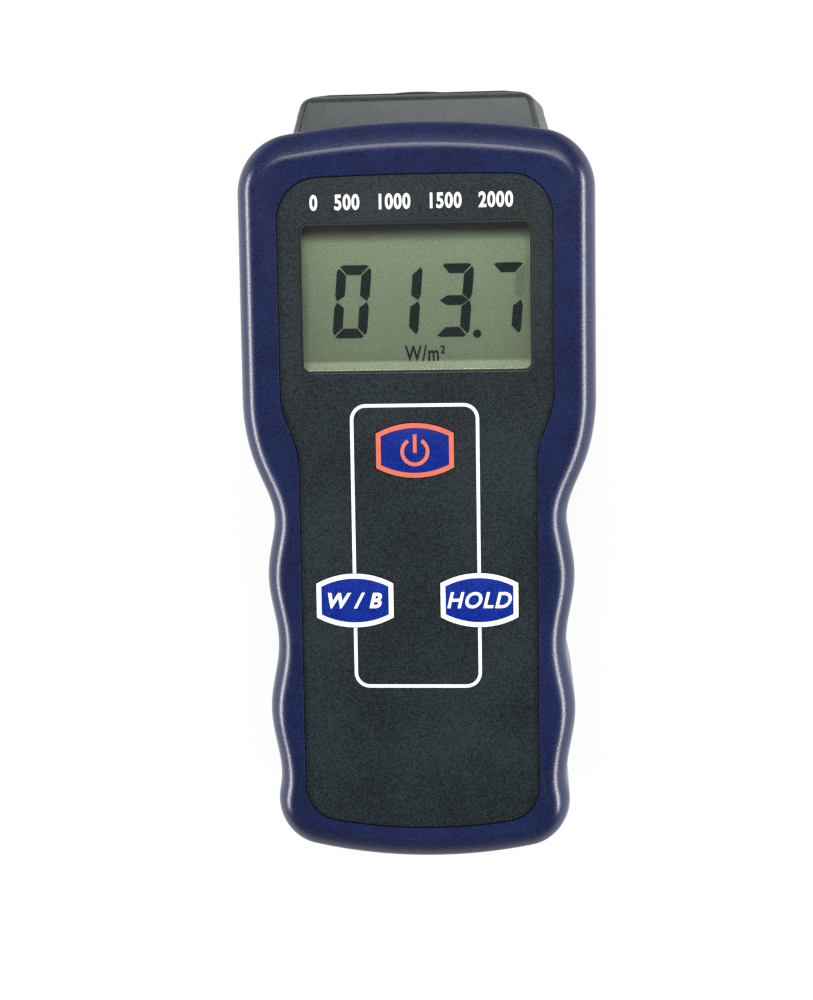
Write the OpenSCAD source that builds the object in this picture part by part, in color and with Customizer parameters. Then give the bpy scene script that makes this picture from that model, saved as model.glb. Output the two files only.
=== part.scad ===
// Handheld solar power meter, lying on its back.
// +Z comes out of the display, +Y points to the sensor head and +X to the right.
// The origin is under the middle of the meter, on the surface that it lies on.

/* [Case] */
// Width of the case beside the display
case_w = 60; // [58:0.5:64]
// Length over the case and the sensor head
total_l = 131.2; // [130:0.1:140]
// How far the sensor head stands out of the case
head_out = 6; // [5.6:0.1:9]
// Height of the seam between the two shells
seam_z = 19; // [18:0.5:20]
// Wall thickness of the two shells
wall = 2.2; // [1.9:0.1:2.4]
// Radius of the corners beside the sensor head
top_corner_r = 10; // [9:0.5:11]
// Radius of the two lower corners
low_corner_r = 8; // [7:0.5:9]
// Radius of the arched upper end
top_arch_r = 135; // [120:5:180]
// Radius of the arched lower end
low_arch_r = 90; // [80:5:120]
// Height of the rounding round the front
front_edge_h = 5; // [4:0.5:6]
// Inward reach of the front rounding along the sides
front_edge_side = 2.4; // [2:0.1:2.8]
// Inward reach of the front rounding at the upper end
front_edge_top = 4.3; // [3.6:0.1:4.6]
// Inward reach of the front rounding at the lower end
front_edge_low = 3.2; // [2.6:0.1:3.4]
// Height of the rounding round the back
back_edge_h = 6; // [5:0.5:7]
// Inward reach of the back rounding
back_edge_in = 3.6; // [3:0.1:4]

/* [Grip] */
// Space between the bosses of the lower screws and the side of the grip
grip_side = 3; // [2.6:0.1:4]
// Height of the finger waves
wave_h = 0.75; // [0.4:0.05:1]
// Distance from one finger wave to the next
wave_pitch = 23.2; // [22:0.2:24]
// Upper finger crest above the lower end of the case
wave_up = 48.95; // [48:0.05:50]
// How far below the window the shoulder starts to draw in
shoulder_down = 4.85; // [3.5:0.05:6.5]
// Length of the shoulder curve
shoulder_l = 22; // [18:1:24]
// How much the grip flares at the lower corners
low_flare = 0.5; // [0.2:0.1:0.8]

/* [Overlay] */
// Thickness of the printed overlay
overlay_t = 0.4; // [0.3:0.05:0.5]
// Width of the rim beside the display
rim_w = 7.1; // [6.8:0.1:7.6]
// Width of the rim along the grip
rim_grip_w = 5.5; // [5:0.1:6]
// Width of the rim at the sensor end
rim_top_w = 9.05; // [8.6:0.05:9.8]
// Width of the rim at the lower end
rim_low_w = 5.75; // [5.4:0.05:7]
// Radius of the upper corners of the overlay
overlay_top_r = 7; // [6:0.5:8]
// Radius of the lower corners of the overlay
overlay_low_r = 6; // [5:0.5:7]
// How far above the case's shoulder the overlay starts to draw in
overlay_neck_up = 1.4; // [0.5:0.1:2.5]
// Length of the overlay's shoulder curve
overlay_neck_l = 12; // [10:1:14]
// Sideways offset of all the printing
print_x = -0.4; // [-0.6:0.1:0.6]
// Thickness of the printing
print_t = 0.05; // [0.03:0.01:0.08]
// Corner radius of the printed frame, outside
frame_r = 2.6; // [2:0.1:3]
// Width of the printed line
line_w = 0.56; // [0.4:0.02:0.7]

/* [Display] */
// Width of the overlay beside the window
window_side_w = 3.5; // [3.1:0.1:4.2]
// Length of the clear window
window_l = 25; // [24:0.1:26]
// Sideways place of the window
window_x = 0.15; // [-0.4:0.05:0.4]
// Width of the overlay above the window
window_top_w = 7.65; // [7.2:0.05:8.2]
// Corner radius of the window
window_r = 1.4; // [1.2:0.1:1.6]
// Width of the flange hidden under the overlay
window_flange = 1.4; // [1:0.1:1.6]
// Thickness of the window's flange
window_t = 1; // [0.8:0.1:1.2]
// Width of the window's bevelled rim
window_bevel = 0.9; // [0.6:0.1:1]
// How far the display glass reaches past the window at its sides
glass_side = 2.9; // [2.1:0.1:3.1]
// How far the display glass reaches past the window at its ends
glass_end = 2.5; // [2.2:0.1:2.7]
// Thickness of the rear display glass
rear_glass_t = 1.4; // [1.1:0.1:1.5]
// Thickness of the front display glass
front_glass_t = 0.7; // [0.5:0.1:0.8]
// Height of the digits
digit_h = 12.2; // [11:0.2:12.6]
// Space between two digits
digit_space = 2.75; // [2.4:0.05:3.4]
// Space left of the first digit and right of the last
digit_margin = 2.2; // [2:0.05:2.6]
// Stroke of the digits, as a share of their width
digit_stroke_share = 0.282; // [0.24:0.002:0.3]
// Slant of the digits, in degrees
digit_slant = 5; // [0:1:10]
// How far the digits lie below the middle of the window
digit_down = 0.55; // [0:0.05:1]
// How far the digits are moved to the right
digit_shift = 0.6; // [0:0.05:1]

/* [Keys] */
// Width of each key
key_w = 13.1; // [12.4:0.1:13.6]
// Height of a key at its middle
key_h = 9.2; // [8.8:0.1:9.6]
// Height of a key at its two ends
key_end_h = 5.8; // [5.4:0.1:6.4]
// Width of the printed edge of a key
key_edge = 0.82; // [0.6:0.02:1]
// Space between the lower keys and the sides of the overlay
key_side = 2.9; // [2.4:0.05:3.2]
// How far a key goes down
key_travel = 0.4; // [0.2:0.05:0.45]
// Gap round a key in the overlay
key_gap = 0.08; // [0.06:0.01:0.12]
// Diameter of the plungers under the keys
plunger_d = 4; // [3.6:0.1:4.4]
// Side of a key switch
switch_w = 6; // [5.6:0.1:6.4]
// Height of a key switch
switch_h = 3.5; // [3.3:0.1:3.6]

/* [Sensor head] */
// How far the head's sides lie inside the sides of the case
neck_in = 6.7; // [6.2:0.1:9]
// Thickness of the head where it leaves the case
neck_t = 20.8; // [19.6:0.2:21.6]
// How much narrower the flat front of the head is on each side
neck_side = 2; // [1.8:0.1:3]
// How far each side of the head draws in towards its tip
tip_in = 1.6; // [1:0.1:4]
// Thickness of the head at its tip
tip_t = 17; // [16.4:0.2:18]
// Radius of the edges of the head
head_edge_r = 1.3; // [0.9:0.1:1.6]
// Diameter of the white diffuser
diffuser_d = 11.8; // [10:0.2:12.4]
// Outer diameter of the ring round the diffuser
ring_d = 13.6; // [13.4:0.2:15]
// Thickness of the sensor board
sensor_board_t = 1.2; // [1:0.1:1.6]

/* [Battery] */
// Length of the battery without its terminals
battery_l = 46.4; // [46:0.1:46.6]
// Width of the battery
battery_w = 26.5; // [26:0.1:26.6]
// Thickness of the battery
battery_t = 17.5; // [17:0.1:17.6]
// How far the battery cover reaches past the bay at its sides
cover_side = 1.1; // [0.9:0.1:1.2]
// Thickness of the battery cover
cover_t = 1.8; // [1.6:0.1:1.9]
// How far the battery cover reaches past the bay at its upper end
cover_end = 2.65; // [2.4:0.05:3.6]

/* [Boards and screws] */
// Space between the battery bay and the main board
board_room = 5.25; // [5:0.05:8]
// Thickness of the main board
board_t = 1.6; // [1.4:0.1:1.7]
// Space between the main board and the outside of the grip
board_side = 5; // [4.8:0.1:5.5]
// Space between the main board and the flange of the sensor head
board_end = 2.5; // [2.1:0.1:2.9]
// How far the main board reaches past the middle of the lower keys
board_past = 11.1; // [10.5:0.1:13]
// Diameter of the case screws
screw_d = 2.6; // [2.4:0.1:2.8]
// Diameter of the heads of the case screws
screw_head_d = 4.6; // [4.4:0.1:4.8]
// Length of the case screws under the head
screw_l = 16; // [14:1:18]
// Diameter of the small board screws
small_screw_d = 1.8; // [1.6:0.1:2]

/* [Hidden] */

// Steps of the curved outlines
arc_steps = 6;
arch_steps = 7;
side_steps = 42;
round_steps = 5;
lead_steps = 10;
lead_sides = 8;
// Overrun of every cut, clearance of fitted pieces and of running pieces
cut = 1;
fit = 0.1;
run_fit = 0.08;
// Depth of the fine groove along the seam
seam_groove = 0.3;

// Layers from the back to the raised rim, each resting on the one before
cover_drop = 0.2;
cover_top_z = cover_drop + cover_t;
rail_z = cover_top_z + fit;
battery_gap = 0.25;
battery_z = rail_z + battery_gap;
pad_t = 1.3;
pad_z = battery_z + battery_t + fit / 2;
bay_roof_z = pad_z + pad_t + fit / 2;
bay_wall = 1.5;
board_low_z = bay_roof_z + bay_wall + board_room;
board_z = board_low_z + board_t;
lcd_stack = 5.7;
front_glass_z = board_z + lcd_stack;
digit_t = 0.06;
digit_z = front_glass_z - front_glass_t - digit_t - fit / 2;
rear_glass_z = digit_z - rear_glass_t;
lcd_frame_wall = 1;
lcd_frame_rest = 0.6;
point_d = 1.4;
lcd_roof_z = front_glass_z + fit;
window_ledge = 0.6;
window_seat_z = lcd_roof_z + window_ledge;
floor_z = window_seat_z + window_t;
front_wall = 2;
inner_z = floor_z - front_wall;
overlay_z = floor_z + overlay_t;
overlay_drop = 0.2;
rim_fall_h = 0.4;
rim_fall_w = 2.2;
case_t = overlay_z + overlay_drop + rim_fall_h;

// Layout across the grip, from the battery outwards
boss_d = 6.6;
boss_gap = 0.9;
bay_half_w = battery_w / 2 + battery_gap;
low_screw_x = bay_half_w + bay_wall + boss_gap + boss_d / 2;
grip_w = 2 * (low_screw_x + boss_d / 2 + grip_side);

// Layout of the front, from its rims inwards
case_top_y = total_l / 2 - head_out;
case_low_y = -total_l / 2;
overlay_w = case_w - 2 * rim_w;
overlay_grip_w = grip_w - 2 * rim_grip_w;
overlay_top_y = case_top_y - rim_top_w;
overlay_low_y = case_low_y + rim_low_w;
window_w = overlay_w - 2 * window_side_w;
window_y = overlay_top_y - window_top_w - window_l / 2;
window_low_y = window_y - window_l / 2;
shoulder_y = window_low_y - shoulder_down;
overlay_neck_y = shoulder_y + overlay_neck_up;
wave_y = case_low_y + wave_up;
glass_w = window_w + 2 * glass_side;
glass_l = window_l + 2 * glass_end;
// The keys and the printed frame are placed by shares of the field below the window
power_share = 0.8328;
lower_share = 0.5061;
frame_top_share = 0.9302;
frame_low_share = 0.3167;
function field_y(share) = overlay_low_y + (window_low_y - overlay_low_y) * share;
power_y = field_y(power_share);
lower_y = field_y(lower_share);
frame_top_y = field_y(frame_top_share);
frame_low_y = field_y(frame_low_share);
lower_x = overlay_grip_w / 2 - key_w / 2 - key_side;
frame_half_w = lower_x;
digit_count = 4;
digit_pitch = (window_w - 2 * digit_margin) / digit_count;
digit_w = digit_pitch - digit_space;
digit_s = digit_w * digit_stroke_share;
digit_x = window_x - window_w / 2 + digit_margin + digit_pitch + digit_shift;
digit_y = window_y - digit_down;

// Outline of the case
low_half = grip_w / 2 - wave_h + low_flare;
last_valley_y = wave_y - wave_pitch * 3 / 2;
function ramp(t) = (1 - cos(180 * min(1, max(0, t)))) / 2;
function arc_mid(y, r, corner, half) =
    sqrt((r - corner) * (r - corner) - (half - corner) * (half - corner)) + y - r;
low_corner_y = -arc_mid(-case_low_y, low_arch_r, low_corner_r, low_half);
function grip_half(y) = y < last_valley_y
    ? grip_w / 2 - wave_h
        + low_flare * ramp((last_valley_y - y) / (last_valley_y - low_corner_y))
    : grip_w / 2 + wave_h * cos(360 * (y - wave_y) / wave_pitch);
function case_half(y) = case_w / 2
    + (grip_half(y) - case_w / 2) * ramp((shoulder_y - y) / shoulder_l);
function overlay_half(y) = overlay_w / 2
    - (overlay_w - overlay_grip_w) / 2 * ramp((overlay_neck_y - y) / overlay_neck_l);

// A closed outline with arched ends and round corners; side gives the half width at y
function outline(top_y, top_r, top_corner, low_y, low_r, low_corner, side) =
    let (
        top_half = side(top_y),
        low_half = side(low_y),
        top_mid = arc_mid(top_y, top_r, top_corner, top_half),
        low_mid = -arc_mid(-low_y, low_r, low_corner, low_half),
        top_turn = atan2(top_mid - top_y + top_r, top_half - top_corner),
        low_turn = atan2(low_y + low_r - low_mid, low_half - low_corner),
        right = concat(
            [for (i = [0 : arch_steps - 1])
                let (a = -90 + (90 - low_turn) * i / arch_steps)
                [low_r * cos(a), low_y + low_r + low_r * sin(a)]],
            [for (i = [0 : arc_steps - 1])
                let (a = -low_turn * (1 - i / arc_steps))
                [low_half - low_corner + low_corner * cos(a), low_mid + low_corner * sin(a)]],
            [for (i = [0 : side_steps])
                let (y = low_mid + (top_mid - low_mid) * i / side_steps)
                [side(y), y]],
            [for (i = [1 : arc_steps])
                let (a = top_turn * i / arc_steps)
                [top_half - top_corner + top_corner * cos(a), top_mid + top_corner * sin(a)]],
            [for (i = [1 : arch_steps])
                let (a = top_turn + (90 - top_turn) * i / arch_steps)
                [top_r * cos(a), top_y - top_r + top_r * sin(a)]]
        )
    )
    concat(right, [for (i = [len(right) - 2 : -1 : 1]) [-right[i].x, right[i].y]]);

case_outline = outline(case_top_y, top_arch_r, top_corner_r,
    case_low_y, low_arch_r, low_corner_r, function(y) case_half(y));
overlay_arch_r = 600;
overlay_outline = outline(overlay_top_y, overlay_arch_r, overlay_top_r,
    overlay_low_y, low_arch_r, overlay_low_r, function(y) overlay_half(y));

// Outward direction at one point of an outline, and an outline drawn in by a distance
function outward(p, i) =
    let (n = len(p), d = p[(i + 1) % n] - p[(i + n - 1) % n]) [d.y, -d.x] / norm(d);
function drawn_in(p, d) = [for (i = [0 : len(p) - 1]) p[i] - outward(p, i) * d];
function edge_in(p, side, top, low, share, more) = [for (i = [0 : len(p) - 1])
    let (n = outward(p, i), reach = side + ((n.y > 0 ? top : low) - side) * n.y * n.y)
    p[i] - n * (reach * share + more)];

// A polygon with its corners rounded to radius r
function corner_arc(a, b, c, r) =
    let (
        u = (a - b) / norm(a - b),
        v = (c - b) / norm(c - b),
        half = acos(u * v) / 2,
        mid = b + (u + v) / norm(u + v) * r / sin(half),
        from = b + u * r / tan(half) - mid,
        to = b + v * r / tan(half) - mid,
        turn = 180 - 2 * half
    )
    [for (k = [0 : arc_steps])
        mid + (from * sin(turn * (1 - k / arc_steps)) + to * sin(turn * k / arc_steps)) / sin(turn)];
function rounded(p, r) = [for (i = [0 : len(p) - 1])
    each corner_arc(p[(i + len(p) - 1) % len(p)], p[i], p[(i + 1) % len(p)], r)];
function box_points(w, l) = [[-w / 2, -l / 2], [w / 2, -l / 2], [w / 2, l / 2], [-w / 2, l / 2]];

// A skin through rings that all have the same even number of points.
// The two end faces are closed by rungs from each side of the ring to the other.
module loft(rings) {
    n = len(rings[0]);
    rows = len(rings);
    last = (rows - 1) * n;
    sides = [for (r = [0 : rows - 2], i = [0 : n - 1])
        let (a = r * n + i, b = r * n + (i + 1) % n)
        each [[a, a + n, b], [b, a + n, b + n]]];
    rungs = concat([[0, 1, n - 1]],
        [for (i = [1 : n / 2 - 2]) [i, i + 1, n - i - 1, n - i]],
        [[n / 2 - 1, n / 2, n / 2 + 1]]);
    ends = [for (f = rungs) each [f, [for (k = [len(f) - 1 : -1 : 0]) last + f[k]]]];
    polyhedron(points = [for (r = rings) each r], faces = concat(sides, ends));
}
function at_height(p, z) = [for (q = p) [q.x, q.y, z]];

// A flat shape standing from low to high, one laid along Y, and plain blocks and posts
module slab(points, low, high) {
    translate([0, 0, low]) linear_extrude(high - low) polygon(points);
}
module along_y(points, from, to) {
    translate([0, to, 0]) rotate([90, 0, 0]) linear_extrude(to - from) polygon(points);
}
module block(x0, x1, y0, y1, z0, z1) {
    translate([x0, y0, z0]) cube([x1 - x0, y1 - y0, z1 - z0]);
}
module post(at, d, low, high) {
    translate([at.x, at.y, low]) cylinder(h = high - low, d = d, $fn = 48);
}
module y_post(x, z, d, from, to) {
    translate([x, to, z]) rotate([90, 0, 0]) cylinder(h = to - from, d = d, $fn = 64);
}
// A lead of eight sides along a cubic curve through four points in a plane of constant x
module lead(x, p, d) {
    function at(t) = pow(1 - t, 3) * p[0] + 3 * t * pow(1 - t, 2) * p[1]
        + 3 * t * t * (1 - t) * p[2] + t * t * t * p[3];
    function way(t) = pow(1 - t, 2) * (p[1] - p[0]) + 2 * t * (1 - t) * (p[2] - p[1])
        + t * t * (p[3] - p[2]);
    loft([for (k = [0 : lead_steps])
        let (t = k / lead_steps, c = at(t), w = way(t) / norm(way(t)))
        [for (j = [0 : lead_sides - 1])
            let (a = -360 * j / lead_sides)
            [x + d / 2 * cos(a), c.x - w.y * d / 2 * sin(a), c.y + w.x * d / 2 * sin(a)]]]);
}

// Solid form of the whole front and of the whole back, before they are hollowed
module front_form() {
    loft(concat(
        [at_height(case_outline, seam_z)],
        [for (k = [0 : round_steps])
            let (a = 90 * k / round_steps)
            at_height(
                edge_in(case_outline, front_edge_side, front_edge_top, front_edge_low, 1 - cos(a), 0),
                case_t - front_edge_h + front_edge_h * sin(a))],
        [at_height(
            edge_in(case_outline, front_edge_side, front_edge_top, front_edge_low, 1, rim_fall_w),
            case_t - rim_fall_h)]
    ));
}
module back_form() {
    loft(concat(
        [for (k = [round_steps : -1 : 0])
            let (a = 90 * k / round_steps)
            at_height(drawn_in(case_outline, back_edge_in * (1 - cos(a))),
                back_edge_h - back_edge_h * sin(a))],
        [at_height(case_outline, seam_z - seam_groove),
            at_height(drawn_in(case_outline, seam_groove), seam_z)]
    ));
}

// Places of the screws and bosses
top_screw_in = 7.1;
top_screw_down = 9.2;
low_screw_up = 12.5;
case_screw_places = [for (side = [1, -1])
    each [[side * (case_w / 2 - top_screw_in), case_top_y - top_screw_down],
        [side * low_screw_x, case_low_y + low_screw_up]]];
screw_seat_z = 9;
screw_head_t = 1.8;
board_screw_in = 2.4;
board_boss_d = 4.4;
boss_apart = 3.46;
neck_w = case_w - 2 * neck_in;
tip_w = neck_w - 2 * tip_in;
neck_sink = 1.6;
head_sink = 4.2;
neck_y = case_top_y - neck_sink;
head_seat_y = case_top_y - head_sink;
flange_t = 1.4;
flange_over = 2.5;
flange_in = 2;
flange_half_w = neck_w / 2 - flange_in;
board_w = grip_w - 2 * board_side;
board_top_y = head_seat_y - flange_t - fit - board_end;
board_low_y = lower_y - board_past;
board_top_screw_x = case_w / 2 - top_screw_in - boss_d / 2 - board_boss_d / 2 - boss_apart;
board_screw_places = [for (side = [1, -1])
    each [[side * board_top_screw_x, board_top_y - board_screw_in],
        [side * (board_w / 2 - board_screw_in), board_low_y + board_screw_in]]];
board_screw_l = 4.4;
board_screw_head_d = 3.4;
board_screw_head_t = 1.2;
board_r = 1.5;

// Section of the sensor head across Y, with its waist on the seam
function head_section(w, t, side, gap) = [
    [-w / 2 + side - gap / 2, seam_z - t / 2 - gap], [w / 2 - side + gap / 2, seam_z - t / 2 - gap],
    [w / 2 + gap, seam_z], [w / 2 - side + gap / 2, seam_z + t / 2 + gap],
    [-w / 2 + side - gap / 2, seam_z + t / 2 + gap], [-w / 2 - gap, seam_z]];
stop_rib_in = 8;
stop_rib_x = neck_w / 2 - stop_rib_in;
stop_rib_w = 4;
stop_rib_t = 1.4;
stop_rib_y = head_seat_y - flange_t - fit - stop_rib_t;

// Keys
power_at = [print_x, power_y];
unit_at = [print_x - lower_x, lower_y];
hold_at = [print_x + lower_x, lower_y];
key_places = [power_at, unit_at, hold_at];
plunger_flange_d = 5.8;
plunger_flange_t = 0.7;
plunger_low_z = inner_z - 2 * fit - plunger_flange_t;
key_pit_z = floor_z - key_travel - 3 * fit;
stem_d = 3.4;
stem_in = 1.2;
symbol_r = 2.45;
symbol_s = 0.62;
symbol_bar = 2.9;
symbol_drop = 0.2;
// Half of a key's arched outline: an arc through its two ends and its middle
function key_points(at, grow) =
    let (
        half = key_w / 2 + grow,
        end = key_end_h / 2 + grow,
        rise = (key_h - key_end_h) / 2,
        r = (key_w * key_w / 4 + rise * rise) / (2 * rise) + grow,
        mid = key_h / 2 + grow - r,
        turn = asin(half / r)
    )
    concat(
        [for (i = [0 : arc_steps * 2])
            let (a = 90 - turn + 2 * turn * i / (arc_steps * 2))
            at + [r * cos(a), mid + r * sin(a)]],
        [for (i = [0 : arc_steps * 2])
            let (a = -90 - turn + 2 * turn * i / (arc_steps * 2))
            at + [r * cos(a), -mid + r * sin(a)]]
    );

// Battery bay and the slide of its cover
cover_w = 2 * bay_half_w + 2 * cover_side;
tongue_w = 1.3;
tongue_t = 0.9;
rail_over = 0.8;
rail_t = 1.3;
battery_end_gap = 1.4;
battery_low_y = case_low_y + wall + battery_end_gap;
battery_top_y = battery_low_y + battery_l;
terminal_h = 2.1;
snap_t = 4;
snap_low_y = battery_top_y + fit;
bay_top_y = snap_low_y + snap_t + battery_gap;
cover_y = bay_top_y + cover_end;
latch_w = 8;
latch_l = 1.5;
// Thumb hollow with its ridges, and the arrow below it
cover_grip_drop = 15;
cover_grip_y = cover_y - cover_grip_drop;
cover_grip_w = 17;
cover_grip_l = 12;
cover_grip_deep = 0.7;
cover_grip_r = 3;
ridge_l = cover_grip_w - 2 * cover_grip_r;
ridge_w = 0.9;
ridge_h = 0.5;
ridges = 5;
arrow_w = 5;
arrow_y = cover_grip_y - cover_grip_l;
arrow_deep = 0.4;
lead_d = 1.3;
lead_apart = 2.4;
lead_z = 16.5;

module front_shell() {
    color([0.16, 0.19, 0.37]) difference() {
        union() {
            difference() {
                front_form();
                difference() {
                    slab(drawn_in(case_outline, wall), seam_z - cut, inner_z);
                    block(-case_w, case_w, head_seat_y, total_l, seam_z - cut - cut, case_t);
                }
            }
            for (at = case_screw_places)
                post(at, boss_d, seam_z + fit, inner_z + cut);
            for (at = board_screw_places)
                post(at, board_boss_d, board_z, inner_z + cut);
            for (side = [-1, 1])
                translate([side * stop_rib_x - stop_rib_w / 2, stop_rib_y, seam_z + neck_t / 2])
                    cube([stop_rib_w, stop_rib_t, inner_z + cut - seam_z - neck_t / 2]);
        }
        slab(drawn_in(overlay_outline, -fit), floor_z, case_t + cut);
        translate([window_x, window_y, 0]) {
            slab(rounded(box_points(window_w + 2 * window_flange + 2 * fit,
                window_l + 2 * window_flange + 2 * fit), window_r), window_seat_z, case_t);
            slab(rounded(box_points(window_w + fit, window_l + fit), window_r), inner_z - cut, case_t);
            slab(box_points(glass_w + 2 * lcd_frame_wall + 4 * fit,
                glass_l + 2 * lcd_frame_wall + 4 * fit), inner_z - cut, lcd_roof_z);
        }
        for (at = key_places) {
            slab(key_points(at, key_gap), key_pit_z, case_t);
            post(at, plunger_d + 2 * run_fit, inner_z - cut, case_t);
        }
        along_y(head_section(neck_w, neck_t, neck_side, fit), head_seat_y - flange_t - 2 * fit, total_l);
        for (at = case_screw_places)
            post(at, screw_d + fit, seam_z - cut, screw_seat_z + screw_l + cut);
        for (at = board_screw_places)
            post(at, small_screw_d + fit, board_z - cut, board_z + board_screw_l);
    }
}

module rear_shell() {
    color([0.14, 0.17, 0.34]) difference() {
        union() {
            difference() {
                back_form();
                difference() {
                    union() {
                        slab(drawn_in(case_outline, wall), back_edge_h, seam_z + cut);
                        slab(drawn_in(case_outline, wall + back_edge_in / 2), wall, back_edge_h + cut);
                    }
                    block(-case_w, case_w, head_seat_y, total_l, -cut, case_t);
                }
            }
            for (at = case_screw_places)
                post(at, boss_d, wall / 2, seam_z - fit);
            for (side = [-1, 1])
                translate([side * stop_rib_x - stop_rib_w / 2, stop_rib_y, wall / 2])
                    cube([stop_rib_w, stop_rib_t, seam_z - neck_t / 2 - wall / 2]);
            // Battery bay with the two rails of the cover
            block(-bay_half_w - bay_wall, bay_half_w + bay_wall, battery_low_y, bay_top_y + bay_wall,
                wall / 2, bay_roof_z + bay_wall);
            block(-cover_w / 2 - tongue_w - rail_over, cover_w / 2 + tongue_w + rail_over,
                battery_low_y, cover_y + latch_l + bay_wall, wall / 2, rail_z + rail_t);
        }
        block(-bay_half_w, bay_half_w, battery_low_y - battery_gap, bay_top_y, rail_z - fit, bay_roof_z);
        block(-lead_apart * 2, lead_apart * 2, bay_top_y - cut, bay_top_y + bay_wall + cut,
            lead_z - lead_d * 1.5, lead_z + lead_d * 1.5);
        // The channel that the cover slides in
        along_y(cover_section(fit), case_low_y - cut, cover_y + fit);
        block(-latch_w / 2 - fit, latch_w / 2 + fit, cover_y, cover_y + latch_l + fit,
            cover_top_z - tongue_t - fit, rail_z);
        along_y(head_section(neck_w, neck_t, neck_side, fit), head_seat_y - flange_t - 2 * fit, total_l);
        for (at = case_screw_places) {
            post(at, screw_d + 2 * fit, -cut, seam_z + cut);
            post(at, screw_head_d + 2 * fit, -cut, screw_seat_z);
        }
    }
}

// Section of the battery cover across Y: the visible plate and its two side tongues
function cover_section(gap) = let (
        half = cover_w / 2 + gap,
        wide = cover_w / 2 + tongue_w + gap,
        under = cover_top_z - tongue_t - gap,
        over = cover_top_z + gap
    )
    [[-half, -cut], [half, -cut], [half, under], [wide, under],
        [wide, over], [-wide, over], [-wide, under], [-half, under]];

module battery_cover() {
    color([0.14, 0.17, 0.34]) difference() {
        union() {
            intersection() {
                translate([0, 0, cover_drop]) back_form();
                along_y(cover_section(0), case_low_y - cut, cover_y);
            }
            block(-latch_w / 2, latch_w / 2, cover_y - cut, cover_y + latch_l,
                cover_top_z - tongue_t, cover_top_z);
        }
        difference() {
            translate([0, cover_grip_y, 0])
                slab(rounded(box_points(cover_grip_w, cover_grip_l), cover_grip_r),
                    -cut, cover_drop + cover_grip_deep);
            for (k = [0 : ridges - 1])
                translate([0, cover_grip_y + (k - (ridges - 1) / 2) * cover_grip_l / (ridges + 1), 0])
                    block(-ridge_l / 2, ridge_l / 2, -ridge_w / 2, ridge_w / 2,
                        cover_drop + cover_grip_deep - ridge_h, cover_top_z);
        }
        slab([[-arrow_w / 2, arrow_y], [0, arrow_y - arrow_w], [arrow_w / 2, arrow_y]],
            -cut, cover_drop + arrow_deep);
    }
}

module screw(at, seat, d, head_d, head_t, length) {
    slot_w = head_d / 5;
    difference() {
        union() {
            post(at, d, seat - head_t / 2, seat + length);
            post(at, head_d, seat - head_t, seat);
        }
        for (turn = [0, 90])
            translate([at.x, at.y, seat - head_t - cut])
                rotate([0, 0, turn])
                    translate([-head_d * 0.35, -slot_w / 2, 0])
                        cube([head_d * 0.7, slot_w, cut + head_t / 2]);
    }
}

module case_screws() {
    color([0.75, 0.75, 0.76])
        for (at = case_screw_places)
            screw(at, screw_seat_z, screw_d, screw_head_d, screw_head_t, screw_l);
}

module front_overlay() {
    color([0.16, 0.17, 0.17]) difference() {
        slab(overlay_outline, floor_z, overlay_z);
        translate([window_x, window_y, 0])
            slab(rounded(box_points(window_w, window_l), window_r), floor_z - cut, overlay_z + cut);
        for (at = key_places)
            slab(key_points(at, key_gap), floor_z - cut, overlay_z + cut);
    }
}

module printed_frame() {
    mid_y = (frame_top_y + frame_low_y) / 2;
    long = frame_top_y - frame_low_y;
    color([0.93, 0.94, 0.94]) difference() {
        translate([print_x, mid_y, 0])
            slab(rounded(box_points(2 * frame_half_w + line_w, long + line_w), frame_r),
                overlay_z, overlay_z + print_t);
        translate([print_x, mid_y, 0])
            slab(rounded(box_points(2 * frame_half_w - line_w, long - line_w), frame_r - line_w),
                overlay_z - cut, overlay_z + cut);
        for (at = [unit_at, hold_at])
            slab(key_points(at, key_gap), overlay_z - cut, overlay_z + cut);
    }
}

module display_window() {
    crown = window_bevel / 2;
    color([0.85, 0.9, 0.88, 0.4]) translate([window_x, window_y, 0]) {
        slab(rounded(box_points(window_w + 2 * window_flange, window_l + 2 * window_flange), window_r),
            window_seat_z, floor_z);
        hull() {
            slab(rounded(box_points(window_w - 2 * fit, window_l - 2 * fit), window_r),
                floor_z, overlay_z - crown / 2);
            slab(rounded(box_points(window_w - 2 * window_bevel, window_l - 2 * window_bevel),
                window_r - window_bevel / 2), floor_z, overlay_z);
        }
    }
}

module key_face(at, tint) {
    color(tint) slab(key_points(at, 0), floor_z, overlay_z);
}
module key_edge_print(at, tint) {
    color(tint) difference() {
        slab(key_points(at, 0), overlay_z, overlay_z + print_t);
        slab(key_points(at, -key_edge), overlay_z - cut, overlay_z + cut);
    }
}
module plunger(at) {
    color([0.85, 0.86, 0.86]) {
        post(at, plunger_d, plunger_low_z, floor_z);
        post(at, plunger_flange_d, plunger_low_z, plunger_low_z + plunger_flange_t);
    }
}
module key_switch(at) {
    color([0.12, 0.12, 0.13]) difference() {
        translate([at.x, at.y, 0])
            block(-switch_w / 2, switch_w / 2, -switch_w / 2, switch_w / 2, board_z, board_z + switch_h);
        post(at, stem_d + 2 * fit, board_z + switch_h - stem_in - key_travel - 3 * fit, overlay_z);
    }
}
module switch_stem(at) {
    color([0.9, 0.88, 0.8]) post(at, stem_d, board_z + switch_h - stem_in, plunger_low_z);
}

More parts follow.
